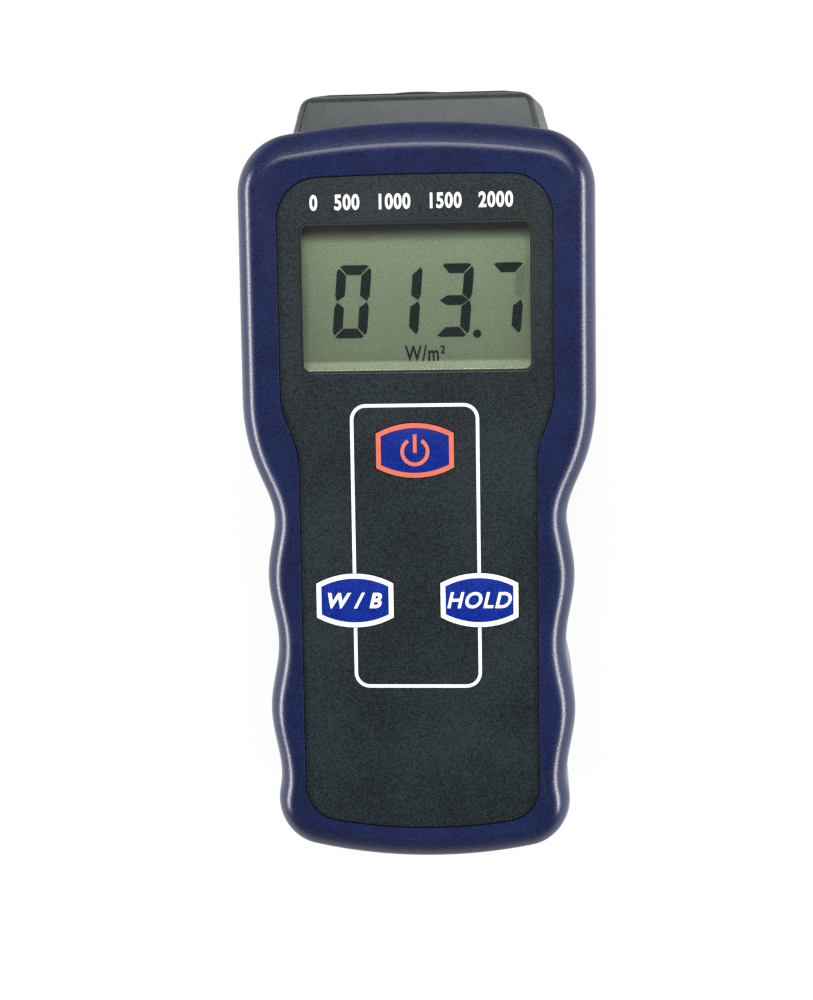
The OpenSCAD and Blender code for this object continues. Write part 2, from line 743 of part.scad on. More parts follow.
module power_key() key_face(power_at, [0.13, 0.16, 0.5]);
module power_key_edge() key_edge_print(power_at, [0.75, 0.3, 0.2]);
module power_key_symbol() {
    opening = 32;
    reach = 2 * symbol_r;
    color([0.75, 0.3, 0.2]) translate([power_at.x, power_at.y - symbol_drop, 0]) {
        difference() {
            post([0, 0], 2 * symbol_r, overlay_z, overlay_z + print_t);
            post([0, 0], 2 * symbol_r - 2 * symbol_s, overlay_z - cut, overlay_z + cut);
            slab([[0, 0], [reach * sin(opening), reach * cos(opening)],
                [-reach * sin(opening), reach * cos(opening)]], overlay_z - cut, overlay_z + cut);
        }
        block(-symbol_s / 2, symbol_s / 2, -symbol_s / 3, symbol_bar, overlay_z, overlay_z + print_t);
    }
}
module power_plunger() plunger(power_at);
module power_switch() key_switch(power_at);
module power_switch_stem() switch_stem(power_at);
module unit_key() key_face(unit_at, [0.13, 0.2, 0.6]);
module unit_key_edge() key_edge_print(unit_at, [0.93, 0.94, 0.94]);
module unit_plunger() plunger(unit_at);
module unit_switch() key_switch(unit_at);
module unit_switch_stem() switch_stem(unit_at);
module hold_key() key_face(hold_at, [0.13, 0.2, 0.6]);
module hold_key_edge() key_edge_print(hold_at, [0.93, 0.94, 0.94]);
module hold_plunger() plunger(hold_at);
module hold_switch() key_switch(hold_at);
module hold_switch_stem() switch_stem(hold_at);

module lcd_frame() {
    outer_w = glass_w + 2 * lcd_frame_wall + 2 * fit;
    outer_l = glass_l + 2 * lcd_frame_wall + 2 * fit;
    color([0.2, 0.2, 0.21]) translate([window_x, window_y, 0]) difference() {
        slab(box_points(outer_w, outer_l), board_z, front_glass_z);
        slab(box_points(glass_w + 2 * fit, glass_l + 2 * fit), rear_glass_z, case_t);
        slab(box_points(glass_w - 2 * lcd_frame_rest, glass_l - 2 * lcd_frame_rest), board_z - cut, case_t);
    }
}
module lcd_rear_glass() {
    color([0.54, 0.59, 0.47]) translate([window_x, window_y, 0])
        slab(box_points(glass_w, glass_l), rear_glass_z, digit_z);
}
module lcd_front_glass() {
    color([0.8, 0.85, 0.8, 0.3]) translate([window_x, window_y, 0])
        slab(box_points(glass_w, glass_l), digit_z + digit_t + fit / 2, front_glass_z);
}

// The seven bars of a digit, lettered round from the top as usual, in a cell that leans
function lean(p) = [for (q = p) [q.x + (q.y - digit_h / 2) * tan(digit_slant), q.y]];
function bar_points(letter) =
    let (
        w = digit_w,
        h = digit_h,
        s = digit_s,
        c = h / 2,
        slit = s / 14,
        nib = s * 0.3,
        slope = s * 0.6,
        top = [[2 * nib, h], [w - 2 * nib, h], [w - nib, h - nib / 2],
            [w - s - slit, h - s], [s + slit, h - s], [nib, h - nib / 2]],
        side = [[w - nib * 0.7, h - nib], [w, h - nib * 2.2], [w, c + slope],
            [w - nib * 0.8, c + slit / 2], [w - s, c + slope], [w - s, h - s - slit]],
        middle = [[nib, c], [s, c + s / 2], [w - s, c + s / 2],
            [w - nib, c], [w - s, c - s / 2], [s, c - s / 2]]
    )
    letter == "a" ? top
    : letter == "b" ? side
    : letter == "c" ? [for (q = side) [q.x, h - q.y]]
    : letter == "d" ? [for (q = top) [q.x, h - q.y]]
    : letter == "e" ? [for (q = side) [w - q.x, h - q.y]]
    : letter == "f" ? [for (q = side) [w - q.x, q.y]]
    : middle;
module digit(place, bars) {
    translate([digit_x - digit_w + place * digit_pitch, digit_y - digit_h / 2, 0])
        for (letter = bars)
            slab(lean(bar_points(letter)), digit_z, digit_z + digit_t);
}
module lcd_digits() {
    color([0.13, 0.16, 0.19]) {
        digit(0, ["a", "b", "c", "d", "e", "f"]);
        digit(1, ["b", "c"]);
        digit(2, ["a", "b", "c", "d", "g"]);
        digit(3, ["a", "c"]);
        post([digit_x + 2 * digit_pitch + point_d * 0.6, digit_y - digit_h / 2 + point_d / 3],
            point_d, digit_z, digit_z + digit_t);
    }
}
module lcd_faint_segment() {
    color([0.47, 0.55, 0.47]) digit(3, ["b"]);
}

zebra_w = 2.2;
zebra_in = 0.7;
module zebra_strips() {
    color([0.75, 0.45, 0.4])
        for (side = [-1, 1])
            translate([window_x, window_y + side * (glass_l / 2 - zebra_in - zebra_w / 2), 0])
                slab(box_points(glass_w - 2 * zebra_w, zebra_w), board_z, rear_glass_z);
}

module main_board() {
    color([0.1, 0.32, 0.16]) difference() {
        translate([0, (board_top_y + board_low_y) / 2, 0])
            slab(rounded(box_points(board_w, board_top_y - board_low_y), board_r), board_low_z, board_z);
        for (at = board_screw_places)
            post(at, small_screw_d + 2 * fit, board_low_z - cut, board_z + cut);
        for (at = case_screw_places)
            post(at, boss_d + 4 * fit, board_low_z - cut, board_z + cut);
    }
}
module board_screws() {
    color([0.75, 0.75, 0.76])
        for (at = board_screw_places)
            screw(at, board_low_z, small_screw_d, board_screw_head_d, board_screw_head_t,
                board_t + board_screw_l - 4 * fit);
}
// Parts soldered to the back of the main board, placed by shares of its half width and length
function board_place(share) =
    [board_w / 2 * share.x, board_low_y + (board_top_y - board_low_y) * share.y];
chip_w = 11;
chip_l = 13;
chip_t = 1.8;
chip_leg = 0.5;
chip_legs = 11;
chip_share = [0, 0.7];
chip_at = board_place(chip_share);
amplifier_w = 4;
amplifier_l = 5;
amplifier_t = 1.6;
amplifier_leg = 0.6;
amplifier_legs = 4;
amplifier_share = [-0.58, 0.88];
amplifier_at = board_place(amplifier_share);
crystal_w = 4.6;
crystal_l = 10.6;
crystal_t = 3.4;
crystal_share = [0.64, 0.71];
crystal_at = board_place(crystal_share);
capacitor_d = 6.3;
capacitor_l = 7.2;
capacitor_gap = 13.2;
high_capacitor_share = [0.44, 0.88];
low_capacitor_x = -board_w / 2 + capacitor_d;
high_capacitor_at = board_place(high_capacitor_share);
low_capacitor_at = [low_capacitor_x, bay_top_y + bay_wall + capacitor_gap + capacitor_d / 2];
resistor_w = 1.25;
resistor_l = 2;
resistor_t = 0.6;
resistor_share = [-0.68, 0.56];
resistor_at = board_place(resistor_share);
resistor_space = 2.75;
resistor_step = resistor_w + resistor_space;
resistor_count = 7;
trimmer_w = 6.4;
trimmer_t = 3.6;
trimmer_share = [0.58, 0.44];
trimmer_at = board_place(trimmer_share);
dial_d = 3.6;
dial_deep = 0.6;
module chip(at, w, l, t, leg_w, legs) {
    translate([at.x, at.y, 0]) {
        slab(box_points(w, l), board_low_z - t, board_low_z - t / 5);
        for (side = [-1, 1], k = [0 : legs - 1])
            translate([side * w / 2, (k - (legs - 1) / 2) * 2 * leg_w, 0])
                slab(box_points(3 * leg_w, leg_w), board_low_z - 2 * t / 5, board_low_z);
    }
}
module microcontroller() {
    color([0.1, 0.1, 0.11]) chip(chip_at, chip_w, chip_l, chip_t, chip_leg, chip_legs);
}
module amplifier_chip() {
    color([0.1, 0.1, 0.11])
        chip(amplifier_at, amplifier_w, amplifier_l, amplifier_t, amplifier_leg, amplifier_legs);
}
module crystal() {
    color([0.8, 0.8, 0.8]) translate([crystal_at.x, crystal_at.y, 0])
        slab(rounded(box_points(crystal_w, crystal_l), crystal_w * 0.49), board_low_z - crystal_t, board_low_z);
}
module capacitors() {
    color([0.15, 0.2, 0.35])
        for (at = [high_capacitor_at, low_capacitor_at])
            post(at, capacitor_d, board_low_z - capacitor_l, board_low_z);
}
module resistors() {
    color([0.12, 0.12, 0.12])
        for (k = [0 : resistor_count - 1])
            translate([resistor_at.x + resistor_step * k, resistor_at.y, 0])
                slab(box_points(resistor_w, resistor_l), board_low_z - resistor_t, board_low_z);
}
module calibration_trimmer() {
    low_z = board_low_z - trimmer_t;
    color([0.15, 0.3, 0.7]) difference() {
        translate([trimmer_at.x, trimmer_at.y, 0])
            slab(box_points(trimmer_w, trimmer_w), low_z, board_low_z);
        difference() {
            post(trimmer_at, dial_d, low_z - cut, low_z + dial_deep);
            translate([trimmer_at.x, trimmer_at.y, 0])
                block(-dial_d, dial_d, -dial_d / 10, dial_d / 10, low_z, board_low_z);
        }
    }
}

// Inside of the sensor head
tip_wall = 3.4;
tip_y = total_l / 2;
ring_t = 1.3;
ring_inner_d = 10.6;
head_post_in = 7.4;
head_post_x = tip_w / 2 - head_post_in;
head_post_d = 4.2;
// The tip is arched: how far its edge lies back, at a share of its half width
arch_shares = [[1, 0.3], [0.94, 0.19], [0.82, 0.1], [0.5, 0.04], [0, 0]];
can_d = 8.2;
can_rim_d = 9.2;
can_rim_t = 0.6;
dome_h = 1;
sensor_board_edge = 3;
can_l = 3.4;
can_gap = 0.4;
diffuser_low_y = tip_y - tip_wall + 0.5 * fit;
can_y = tip_y - tip_wall - can_gap - can_l;
sensor_board_y = can_y - sensor_board_t;
module sensor_head() {
    tip_side = neck_side * tip_w / neck_w;
    tip_r = head_edge_r * 1.2;
    body = rounded(head_section(neck_w, neck_t, neck_side, 0), head_edge_r);
    tip_face = head_section(tip_w - 2 * tip_r, tip_t - 2 * tip_r, tip_side, 0);
    color([0.2, 0.21, 0.21]) difference() {
        union() {
            along_y(body, head_seat_y - flange_t - fit, neck_y);
            hull() {
                along_y(body, neck_y - head_edge_r, neck_y);
                for (p = tip_face, q = arch_shares)
                    translate([p.x * q[0], tip_y - tip_r - head_out * q[1], p.y]) sphere(r = tip_r, $fn = 24);
            }
            block(-flange_half_w, flange_half_w, head_seat_y - flange_t - fit, head_seat_y - fit,
                seam_z - neck_t / 2 - flange_over, seam_z + neck_t / 2 + flange_over);
        }
        // Room for the sensor board, left open to the case
        difference() {
            along_y(box_at(tip_w - 2 * wall * 1.4, tip_t - 2 * wall * 1.2), neck_y - total_l, tip_y - tip_wall);
            for (side = [-1, 1])
                y_post(side * head_post_x, seam_z, head_post_d, sensor_board_y + sensor_board_t, tip_y);
        }
        y_post(0, seam_z, diffuser_d + fit, sensor_board_y, tip_y + cut);
        y_post(0, seam_z, ring_d + fit, tip_y - ring_t, tip_y + cut);
        for (side = [-1, 1])
            y_post(side * head_post_x, seam_z, small_screw_d + fit, sensor_board_y,
                sensor_board_y + sensor_board_t + board_screw_l);
    }
}
function box_at(w, t) = [for (p = box_points(w, t)) p + [0, seam_z]];
module sensor_ring() {
    color([0.3, 0.3, 0.31]) difference() {
        y_post(0, seam_z, ring_d, tip_y - ring_t + fit / 2, tip_y - fit);
        y_post(0, seam_z, ring_inner_d, tip_y - ring_t - cut, tip_y + cut);
    }
}
module diffuser() {
    // A flat disc with a shallow dome, turned about the axis of the head
    disc_t = tip_wall - ring_t - fit;
    dome_r = ring_inner_d / 2 - fit;
    ball_r = (dome_r * dome_r + dome_h * dome_h) / (2 * dome_h);
    turn = asin(dome_r / ball_r);
    color([0.94, 0.94, 0.92]) translate([0, diffuser_low_y, seam_z]) rotate([-90, 0, 0])
        rotate_extrude($fn = 64) polygon(concat(
            [[0, 0], [diffuser_d / 2, 0], [diffuser_d / 2, disc_t], [dome_r, disc_t]],
            [for (k = [1 : arc_steps])
                let (a = turn * (1 - k / arc_steps))
                [ball_r * sin(a), disc_t + dome_h - ball_r + ball_r * cos(a)]]));
}
module photodiode() {
    color([0.78, 0.76, 0.66]) {
        y_post(0, seam_z, can_d, can_y, can_y + can_l);
        y_post(0, seam_z, can_rim_d, can_y, can_y + can_rim_t);
    }
}
module sensor_board() {
    color([0.1, 0.32, 0.16]) difference() {
        along_y(box_at(2 * head_post_x + 2 * sensor_board_edge, tip_t - 3 * wall - sensor_board_edge),
            sensor_board_y, sensor_board_y + sensor_board_t);
        for (side = [-1, 1])
            y_post(side * head_post_x, seam_z, small_screw_d + 2 * fit, sensor_board_y - cut,
                sensor_board_y + sensor_board_t + cut);
    }
}
module sensor_screws() {
    color([0.75, 0.75, 0.76])
        for (side = [-1, 1])
            translate([side * head_post_x, sensor_board_y, seam_z]) rotate([-90, 0, 0])
                screw([0, 0], 0, small_screw_d, board_screw_head_d, board_screw_head_t,
                    sensor_board_t + board_screw_l - 4 * fit);
}
module sensor_leads() {
    start_z = seam_z + 1.5 * lead_d;
    end_y = board_top_y - 1.5 * board_screw_in;
    color([0.8, 0.15, 0.12])
        for (k = [-1, 0, 1])
            lead(k * lead_apart, [[sensor_board_y, start_z], [sensor_board_y - lead_apart, start_z],
                [end_y, start_z + lead_apart], [end_y, board_low_z]], lead_d);
}

// Battery, its snap and the pad above it
battery_r = 2.5;
snap_w = 25;
snap_d = 12.6;
snap_r = 4;
pad_w = 22;
pad_l = 36;
terminal_apart = 12.7;
small_terminal_d = 5.8;
large_terminal_d = 8;
terminal_z = battery_z + battery_t / 2;
module battery() {
    color([0.2, 0.2, 0.22]) along_y(
        [for (p = rounded(box_points(battery_w, battery_t), battery_r)) p + [0, battery_z + battery_t / 2]],
        battery_low_y, battery_top_y);
}
module battery_terminals() {
    color([0.8, 0.8, 0.8]) {
        y_post(-terminal_apart / 2, terminal_z, small_terminal_d, battery_top_y, battery_top_y + terminal_h);
        y_post(terminal_apart / 2, terminal_z, large_terminal_d, battery_top_y, battery_top_y + terminal_h);
    }
}
module battery_snap() {
    color([0.1, 0.1, 0.1]) difference() {
        along_y([for (p = rounded(box_points(snap_w, snap_d), snap_r)) p + [0, terminal_z]],
            snap_low_y, snap_low_y + snap_t);
        y_post(-terminal_apart / 2, terminal_z, small_terminal_d + fit, snap_low_y - cut,
            battery_top_y + terminal_h + fit);
        y_post(terminal_apart / 2, terminal_z, large_terminal_d + fit, snap_low_y - cut,
            battery_top_y + terminal_h + fit);
    }
}
module battery_leads() {
    start_y = snap_low_y + snap_t;
    end_y = bay_top_y + bay_wall + 4 * lead_d;
    color([0.75, 0.12, 0.1])
        for (side = [-1, 1])
            lead(side * lead_apart, [[start_y, lead_z], [start_y + 5 * lead_d, lead_z],
                [end_y, lead_z + lead_d], [end_y, board_low_z]], lead_d);
}
module battery_pad() {
    color([0.25, 0.25, 0.26]) translate([0, (battery_low_y + battery_top_y) / 2, 0])
        slab(box_points(pad_w, pad_l), pad_z, pad_z + pad_t);
}

front_shell();
rear_shell();
battery_cover();
case_screws();
front_overlay();
printed_frame();
display_window();
power_key();
power_key_edge();
power_key_symbol();
power_plunger();
power_switch();
power_switch_stem();
unit_key();
unit_key_edge();
unit_plunger();
unit_switch();
unit_switch_stem();
hold_key();
hold_key_edge();
hold_plunger();
hold_switch();
hold_switch_stem();
lcd_frame();
lcd_rear_glass();
lcd_digits();
lcd_faint_segment();
lcd_front_glass();
zebra_strips();
main_board();
board_screws();
microcontroller();
amplifier_chip();
crystal();
capacitors();
resistors();
calibration_trimmer();
sensor_head();
sensor_ring();
diffuser();
photodiode();
sensor_board();
sensor_screws();
sensor_leads();
battery();
battery_terminals();
battery_snap();
battery_leads();
battery_pad();
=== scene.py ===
import math

import bmesh
import bpy
from mathutils import Matrix, Vector


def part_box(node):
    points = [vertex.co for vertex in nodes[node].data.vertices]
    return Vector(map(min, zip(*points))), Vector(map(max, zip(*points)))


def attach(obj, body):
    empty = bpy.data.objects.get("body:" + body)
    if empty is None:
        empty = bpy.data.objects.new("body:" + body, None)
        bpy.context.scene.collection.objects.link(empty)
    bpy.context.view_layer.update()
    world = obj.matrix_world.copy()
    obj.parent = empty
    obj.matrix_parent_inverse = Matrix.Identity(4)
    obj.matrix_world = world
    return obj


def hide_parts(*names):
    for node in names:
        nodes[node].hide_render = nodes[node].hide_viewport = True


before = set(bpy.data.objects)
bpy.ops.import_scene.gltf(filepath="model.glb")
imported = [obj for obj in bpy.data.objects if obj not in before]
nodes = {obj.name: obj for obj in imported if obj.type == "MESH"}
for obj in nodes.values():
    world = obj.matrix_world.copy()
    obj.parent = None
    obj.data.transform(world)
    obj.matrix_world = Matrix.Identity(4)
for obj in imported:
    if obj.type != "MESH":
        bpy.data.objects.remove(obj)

scene = bpy.context.scene
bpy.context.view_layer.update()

# Camera. The meter is seen from above its display, a little from the right and from its
# head end, as in the photograph. Lens and place were fitted to the corners of the display
# window and of the printed frame.
lens = bpy.data.cameras.new("camera")
lens.lens = 59.98
lens.sensor_width = 36
camera = bpy.data.objects.new("camera", lens)
camera.matrix_world = (Matrix.Translation((0.01934, 0.02505, 0.3153))
                       @ Matrix.Rotation(0.07639, 4, "Y") @ Matrix.Rotation(-0.10183, 4, "X")
                       @ Matrix.Rotation(-0.01561, 4, "Z"))
scene.collection.objects.link(camera)
scene.camera = camera
scene.view_settings.view_transform = "Standard"

# Studio. A pale room with one large soft box over the head end and a long low strip along
# each side, which draw the bright lines on the rim. Together they light a surface at about
# the level at which its colour is written.
room = bpy.data.worlds.new("room")
scene.world = room
room.use_nodes = True
room.node_tree.nodes["Background"].inputs["Color"].default_value = (1.0, 1.0, 1.0, 1)
room.node_tree.nodes["Background"].inputs["Strength"].default_value = 0.22


def soft_box(name, place, width, height, watts):
    """An area lamp at a place in metres that faces the middle of the meter."""
    lamp = bpy.data.lights.new(name, "AREA")
    lamp.shape = "RECTANGLE"
    lamp.size = width
    lamp.size_y = height
    lamp.energy = watts
    stand = bpy.data.objects.new(name, lamp)
    stand.matrix_world = (Matrix.Translation(place)
                          @ (-Vector(place)).to_track_quat("-Z", "Y").to_matrix().to_4x4())
    scene.collection.objects.link(stand)


soft_box("head_soft_box", (0.02, 0.34, 0.45), 0.4, 0.26, 2.2)
soft_box("left_strip", (-0.5, 0.0, 0.2), 0.56, 0.09, 4.2)
soft_box("right_strip", (0.5, -0.02, 0.21), 0.56, 0.09, 4.2)


# Floor. A wide pale table under the meter. It looks white to the camera and in reflections,
# and still shows the soft shadow that the meter throws on it.
def blank_finish(name):
    """A new material and its shader tree."""
    material = bpy.data.materials.new(name)
    material.use_nodes = True
    return material, material.node_tree


def wired(tree, *pairs):
    """Joins an output of one shader node to an input of another, for each pair."""
    for source, target in pairs:
        tree.links.new(source, target)


floor_bm = bmesh.new()
bmesh.ops.create_grid(floor_bm, x_segments=2, y_segments=2, size=4.0)
floor_mesh = bpy.data.meshes.new("floor")
floor_bm.to_mesh(floor_mesh)
floor_bm.free()
floor = bpy.data.objects.new("floor", floor_mesh)
scene.collection.objects.link(floor)
table_top, tree = blank_finish("table_top")
tree.nodes.clear()
path = tree.nodes.new("ShaderNodeLightPath")
seen = tree.nodes.new("ShaderNodeMath")
seen.operation = "MAXIMUM"
seen_too = tree.nodes.new("ShaderNodeMath")
seen_too.operation = "MAXIMUM"
white_share = tree.nodes.new("ShaderNodeMath")
white_share.operation = "MULTIPLY"
white_share.inputs[1].default_value = 0.82
matt = tree.nodes.new("ShaderNodeBsdfDiffuse")
matt.inputs["Color"].default_value = (0.93, 0.93, 0.93, 1)
glow = tree.nodes.new("ShaderNodeEmission")
glow.inputs["Color"].default_value = (1, 1, 1, 1)
glow.inputs["Strength"].default_value = 1.0
blend = tree.nodes.new("ShaderNodeMixShader")
surface = tree.nodes.new("ShaderNodeOutputMaterial")
wired(tree,
      (path.outputs["Is Camera Ray"], seen.inputs[0]),
      (path.outputs["Is Glossy Ray"], seen.inputs[1]),
      (seen.outputs[0], seen_too.inputs[0]),
      (path.outputs["Is Transmission Ray"], seen_too.inputs[1]),
      (seen_too.outputs[0], white_share.inputs[0]),
      (white_share.outputs[0], blend.inputs[0]),
      (matt.outputs[0], blend.inputs[1]),
      (glow.outputs[0], blend.inputs[2]),
      (blend.outputs[0], surface.inputs["Surface"]))
floor_mesh.materials.append(table_top)

# Front shell. The upper half of the case, moulded in navy plastic with a fine spark-eroded
# texture. It has a rim with a rounded edge, a shallow pocket for the overlay, a seat for the
# window, pits for the keys, and screw bosses inside.
seam_z, edge_z, crown_z = 19.0, 33, 38
wall = 2.2
foot_y, foot_r, foot_corner, foot_half = -66, 90, 8, 25.25
shoulder_y, shoulder_length, head_half = 12.65, 22, 30
grip_middle, wave_height, wave_length, wave_y = 25.5, 0.75, 23.2, -17.05
waves_end_y, waves_end_half = -51.85, 24.75
# Sizes are in millimetres. Places along Y are measured from a line across the case, so far
# above its lower end as foot_y says, and fitted() moves each form from there into the frame.
line_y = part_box("front_shell")[0].y * 1000 - foot_y


def swell(t):
    """A smooth rise from 0 to 1 while t goes from 0 to 1."""
    return (1 - math.cos(math.pi * min(1, max(0, t)))) / 2


def arch_middle(y, r, corner, half):
    """The place along Y of the middle of the corner circle that meets an arched end."""
    return math.sqrt((r - corner) ** 2 - (half - corner) ** 2) + y - r


def outline(top_y, top_r, top_corner, low_y, low_r, low_corner, half_at):
    """A closed outline with arched ends and round corners; half_at gives its half width."""
    arch_steps, corner_steps, side_steps = 12, 16, 128
    top_half, low_half = half_at(top_y), half_at(low_y)
    top_mid = arch_middle(top_y, top_r, top_corner, top_half)
    low_mid = -arch_middle(-low_y, low_r, low_corner, low_half)
    top_turn = math.atan2(top_mid - top_y + top_r, top_half - top_corner)
    low_turn = math.atan2(low_y + low_r - low_mid, low_half - low_corner)
    right = []
    for i in range(arch_steps):
        a = -math.pi / 2 + (math.pi / 2 - low_turn) * i / arch_steps
        right.append((low_r * math.cos(a), low_y + low_r + low_r * math.sin(a)))
    for i in range(corner_steps):
        a = -low_turn * (1 - i / corner_steps)
        right.append((low_half - low_corner + low_corner * math.cos(a),
                      low_mid + low_corner * math.sin(a)))
    for i in range(side_steps + 1):
        y = low_mid + (top_mid - low_mid) * i / side_steps
        right.append((half_at(y), y))
    for i in range(1, corner_steps + 1):
        a = top_turn * i / corner_steps
        right.append((top_half - top_corner + top_corner * math.cos(a),
                      top_mid + top_corner * math.sin(a)))
    for i in range(1, arch_steps + 1):
        a = top_turn + (math.pi / 2 - top_turn) * i / arch_steps
        right.append((top_r * math.cos(a), top_y - top_r + top_r * math.sin(a)))
    return [Vector(p) for p in right] + [Vector((-x, y)) for x, y in right[-2:0:-1]]


foot_middle = -arch_middle(-foot_y, foot_r, foot_corner, foot_half)


def grip_half(y):
    """Half the width of the grip: waves for the fingers, and a plain curve at the foot."""
    if y < waves_end_y:
        return (waves_end_half + (foot_half - waves_end_half)
                * swell((waves_end_y - y) / (waves_end_y - foot_middle)))
    return grip_middle + wave_height * math.cos(2 * math.pi * (y - wave_y) / wave_length)


def case_half(y):
    return head_half + (grip_half(y) - head_half) * swell((shoulder_y - y) / shoulder_length)


def overlay_half(y):
    return 22.9 - 2.9 * swell((14.05 - y) / 12)


case_line = outline(59.2, 135, 10, foot_y, foot_r, foot_corner, case_half)
overlay_line = outline(50.15, 600, 7, -60.25, 90, 6, overlay_half)


def outward(points):
    """The unit direction out of an outline at each of its points."""
    ways = []
    for i in range(len(points)):
        d = points[(i + 1) % len(points)] - points[i - 1]
        ways.append(Vector((d.y, -d.x)).normalized())
    return ways


def drawn_in(points, distance):
    return [p - n * distance for p, n in zip(points, outward(points))]


def raised(bm, ring, spots):
    """Extrudes a ring of vertices once and puts each new vertex at its spot."""
    edges = [bm.edges.get((ring[i], ring[i - 1])) for i in range(len(ring))]
    made = set(v for v in bmesh.ops.extrude_edge_only(bm, edges=edges)["geom"]
               if isinstance(v, bmesh.types.BMVert))
    new = [next(e.other_vert(v) for e in v.link_edges if e.other_vert(v) in made) for v in ring]
    for v, spot in zip(new, spots):
        v.co = spot
    return new


def stacked(rings):
    """A closed solid through rings of points that all have the same number of points."""
    bm = bmesh.new()
    ring = bmesh.ops.create_circle(bm, segments=len(rings[0]), radius=1)["verts"]
    for v, spot in zip(ring, rings[0]):
        v.co = spot
    first = [bm.edges.get((ring[i], ring[i - 1])) for i in range(len(ring))]
    for spots in rings[1:]:
        ring = raised(bm, ring, spots)
    last = [bm.edges.get((ring[i], ring[i - 1])) for i in range(len(ring))]
    bmesh.ops.contextual_create(bm, geom=first)
    bmesh.ops.contextual_create(bm, geom=last)
    bmesh.ops.recalc_face_normals(bm, faces=bm.faces)
    return bm


def level(points, z):
    return [Vector((p.x, p.y, z)) for p in points]


def slab(points, low, high):
    return stacked([level(points, low), level(points, high)])


def corners_rounded(w, l, r, at=(0, 0), steps=8):
    """The points of a rectangle with round corners."""
    points = []
    for cx, cy, start in ((1, 1, 0), (-1, 1, 90), (-1, -1, 180), (1, -1, 270)):
        for k in range(steps + 1):
            a = math.radians(start + 90 * k / steps)
            points.append(Vector((at[0] + cx * (w / 2 - r) + r * math.cos(a),
                                  at[1] + cy * (l / 2 - r) + r * math.sin(a))))
    return points


def block(x0, x1, y0, y1, z0, z1):
    bm = bmesh.new()
    bmesh.ops.create_cube(bm, size=1)
    bmesh.ops.scale(bm, vec=(x1 - x0, y1 - y0, z1 - z0), verts=bm.verts)
    bmesh.ops.translate(bm, vec=((x0 + x1) / 2, (y0 + y1) / 2, (z0 + z1) / 2), verts=bm.verts)
    return bm


def post(at, d, low, high):
    bm = bmesh.new()
    bmesh.ops.create_cone(bm, cap_ends=True, segments=48, radius1=d / 2, radius2=d / 2,
                          depth=high - low)
    bmesh.ops.translate(bm, vec=(at[0], at[1], (low + high) / 2), verts=bm.verts)
    return bm


def loose(bm):
    """A passing object from a form, for the cutting below."""
    mesh = bpy.data.meshes.new("form")
    bm.to_mesh(mesh)
    bm.free()
    item = bpy.data.objects.new("form", mesh)
    scene.collection.objects.link(item)
    return item


def settled(item):
    """A new mesh of an object as its modifiers or its text leave it."""
    depsgraph = bpy.context.evaluated_depsgraph_get()
    return bpy.data.meshes.new_from_object(item.evaluated_get(depsgraph))


def worked(blank, *steps):
    """Cuts forms from a blank and joins others to it, in the order given."""
    item = loose(blank)
    tools = []
    for way, form in steps:
        tool = loose(form)
        tools.append(tool)
        cut = item.modifiers.new("cut", "BOOLEAN")
        cut.object = tool
        cut.operation = way
        cut.solver = "MANIFOLD"
    mesh = settled(item)
    for done in [item] + tools:
        bpy.data.objects.remove(done)
    bm = bmesh.new()
    bm.from_mesh(mesh)
    bpy.data.meshes.remove(mesh)
    bmesh.ops.remove_doubles(bm, verts=bm.verts, dist=0.0002)
    bmesh.ops.dissolve_degenerate(bm, dist=0.0002, edges=bm.edges)
    return bm


def fitted(name, bm, material, body, replaced=(), sharp=32):
    """Turns a form in millimetres into a finished piece that rides on its body."""
    bmesh.ops.translate(bm, vec=(0, line_y, 0), verts=bm.verts)
    bmesh.ops.scale(bm, vec=(0.001, 0.001, 0.001), verts=bm.verts)
    mesh = bpy.data.meshes.new(name)
    bm.to_mesh(mesh)
    bm.free()
    mesh.shade_smooth()
    mesh.set_sharp_from_angle(angle=math.radians(sharp))
    mesh.materials.append(material)
    made = bpy.data.objects.new(name, mesh)
    scene.collection.objects.link(made)
    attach(made, body)
    if replaced:
        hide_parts(*replaced)
    return made


def as_seen(red, green, blue):
    """A colour read from 0 to 255 on the screen, as the shader wants it."""
    return [((c / 255 + 0.055) / 1.055) ** 2.4 if c > 10 else c / 255 / 12.92
            for c in (red, green, blue)] + [1]


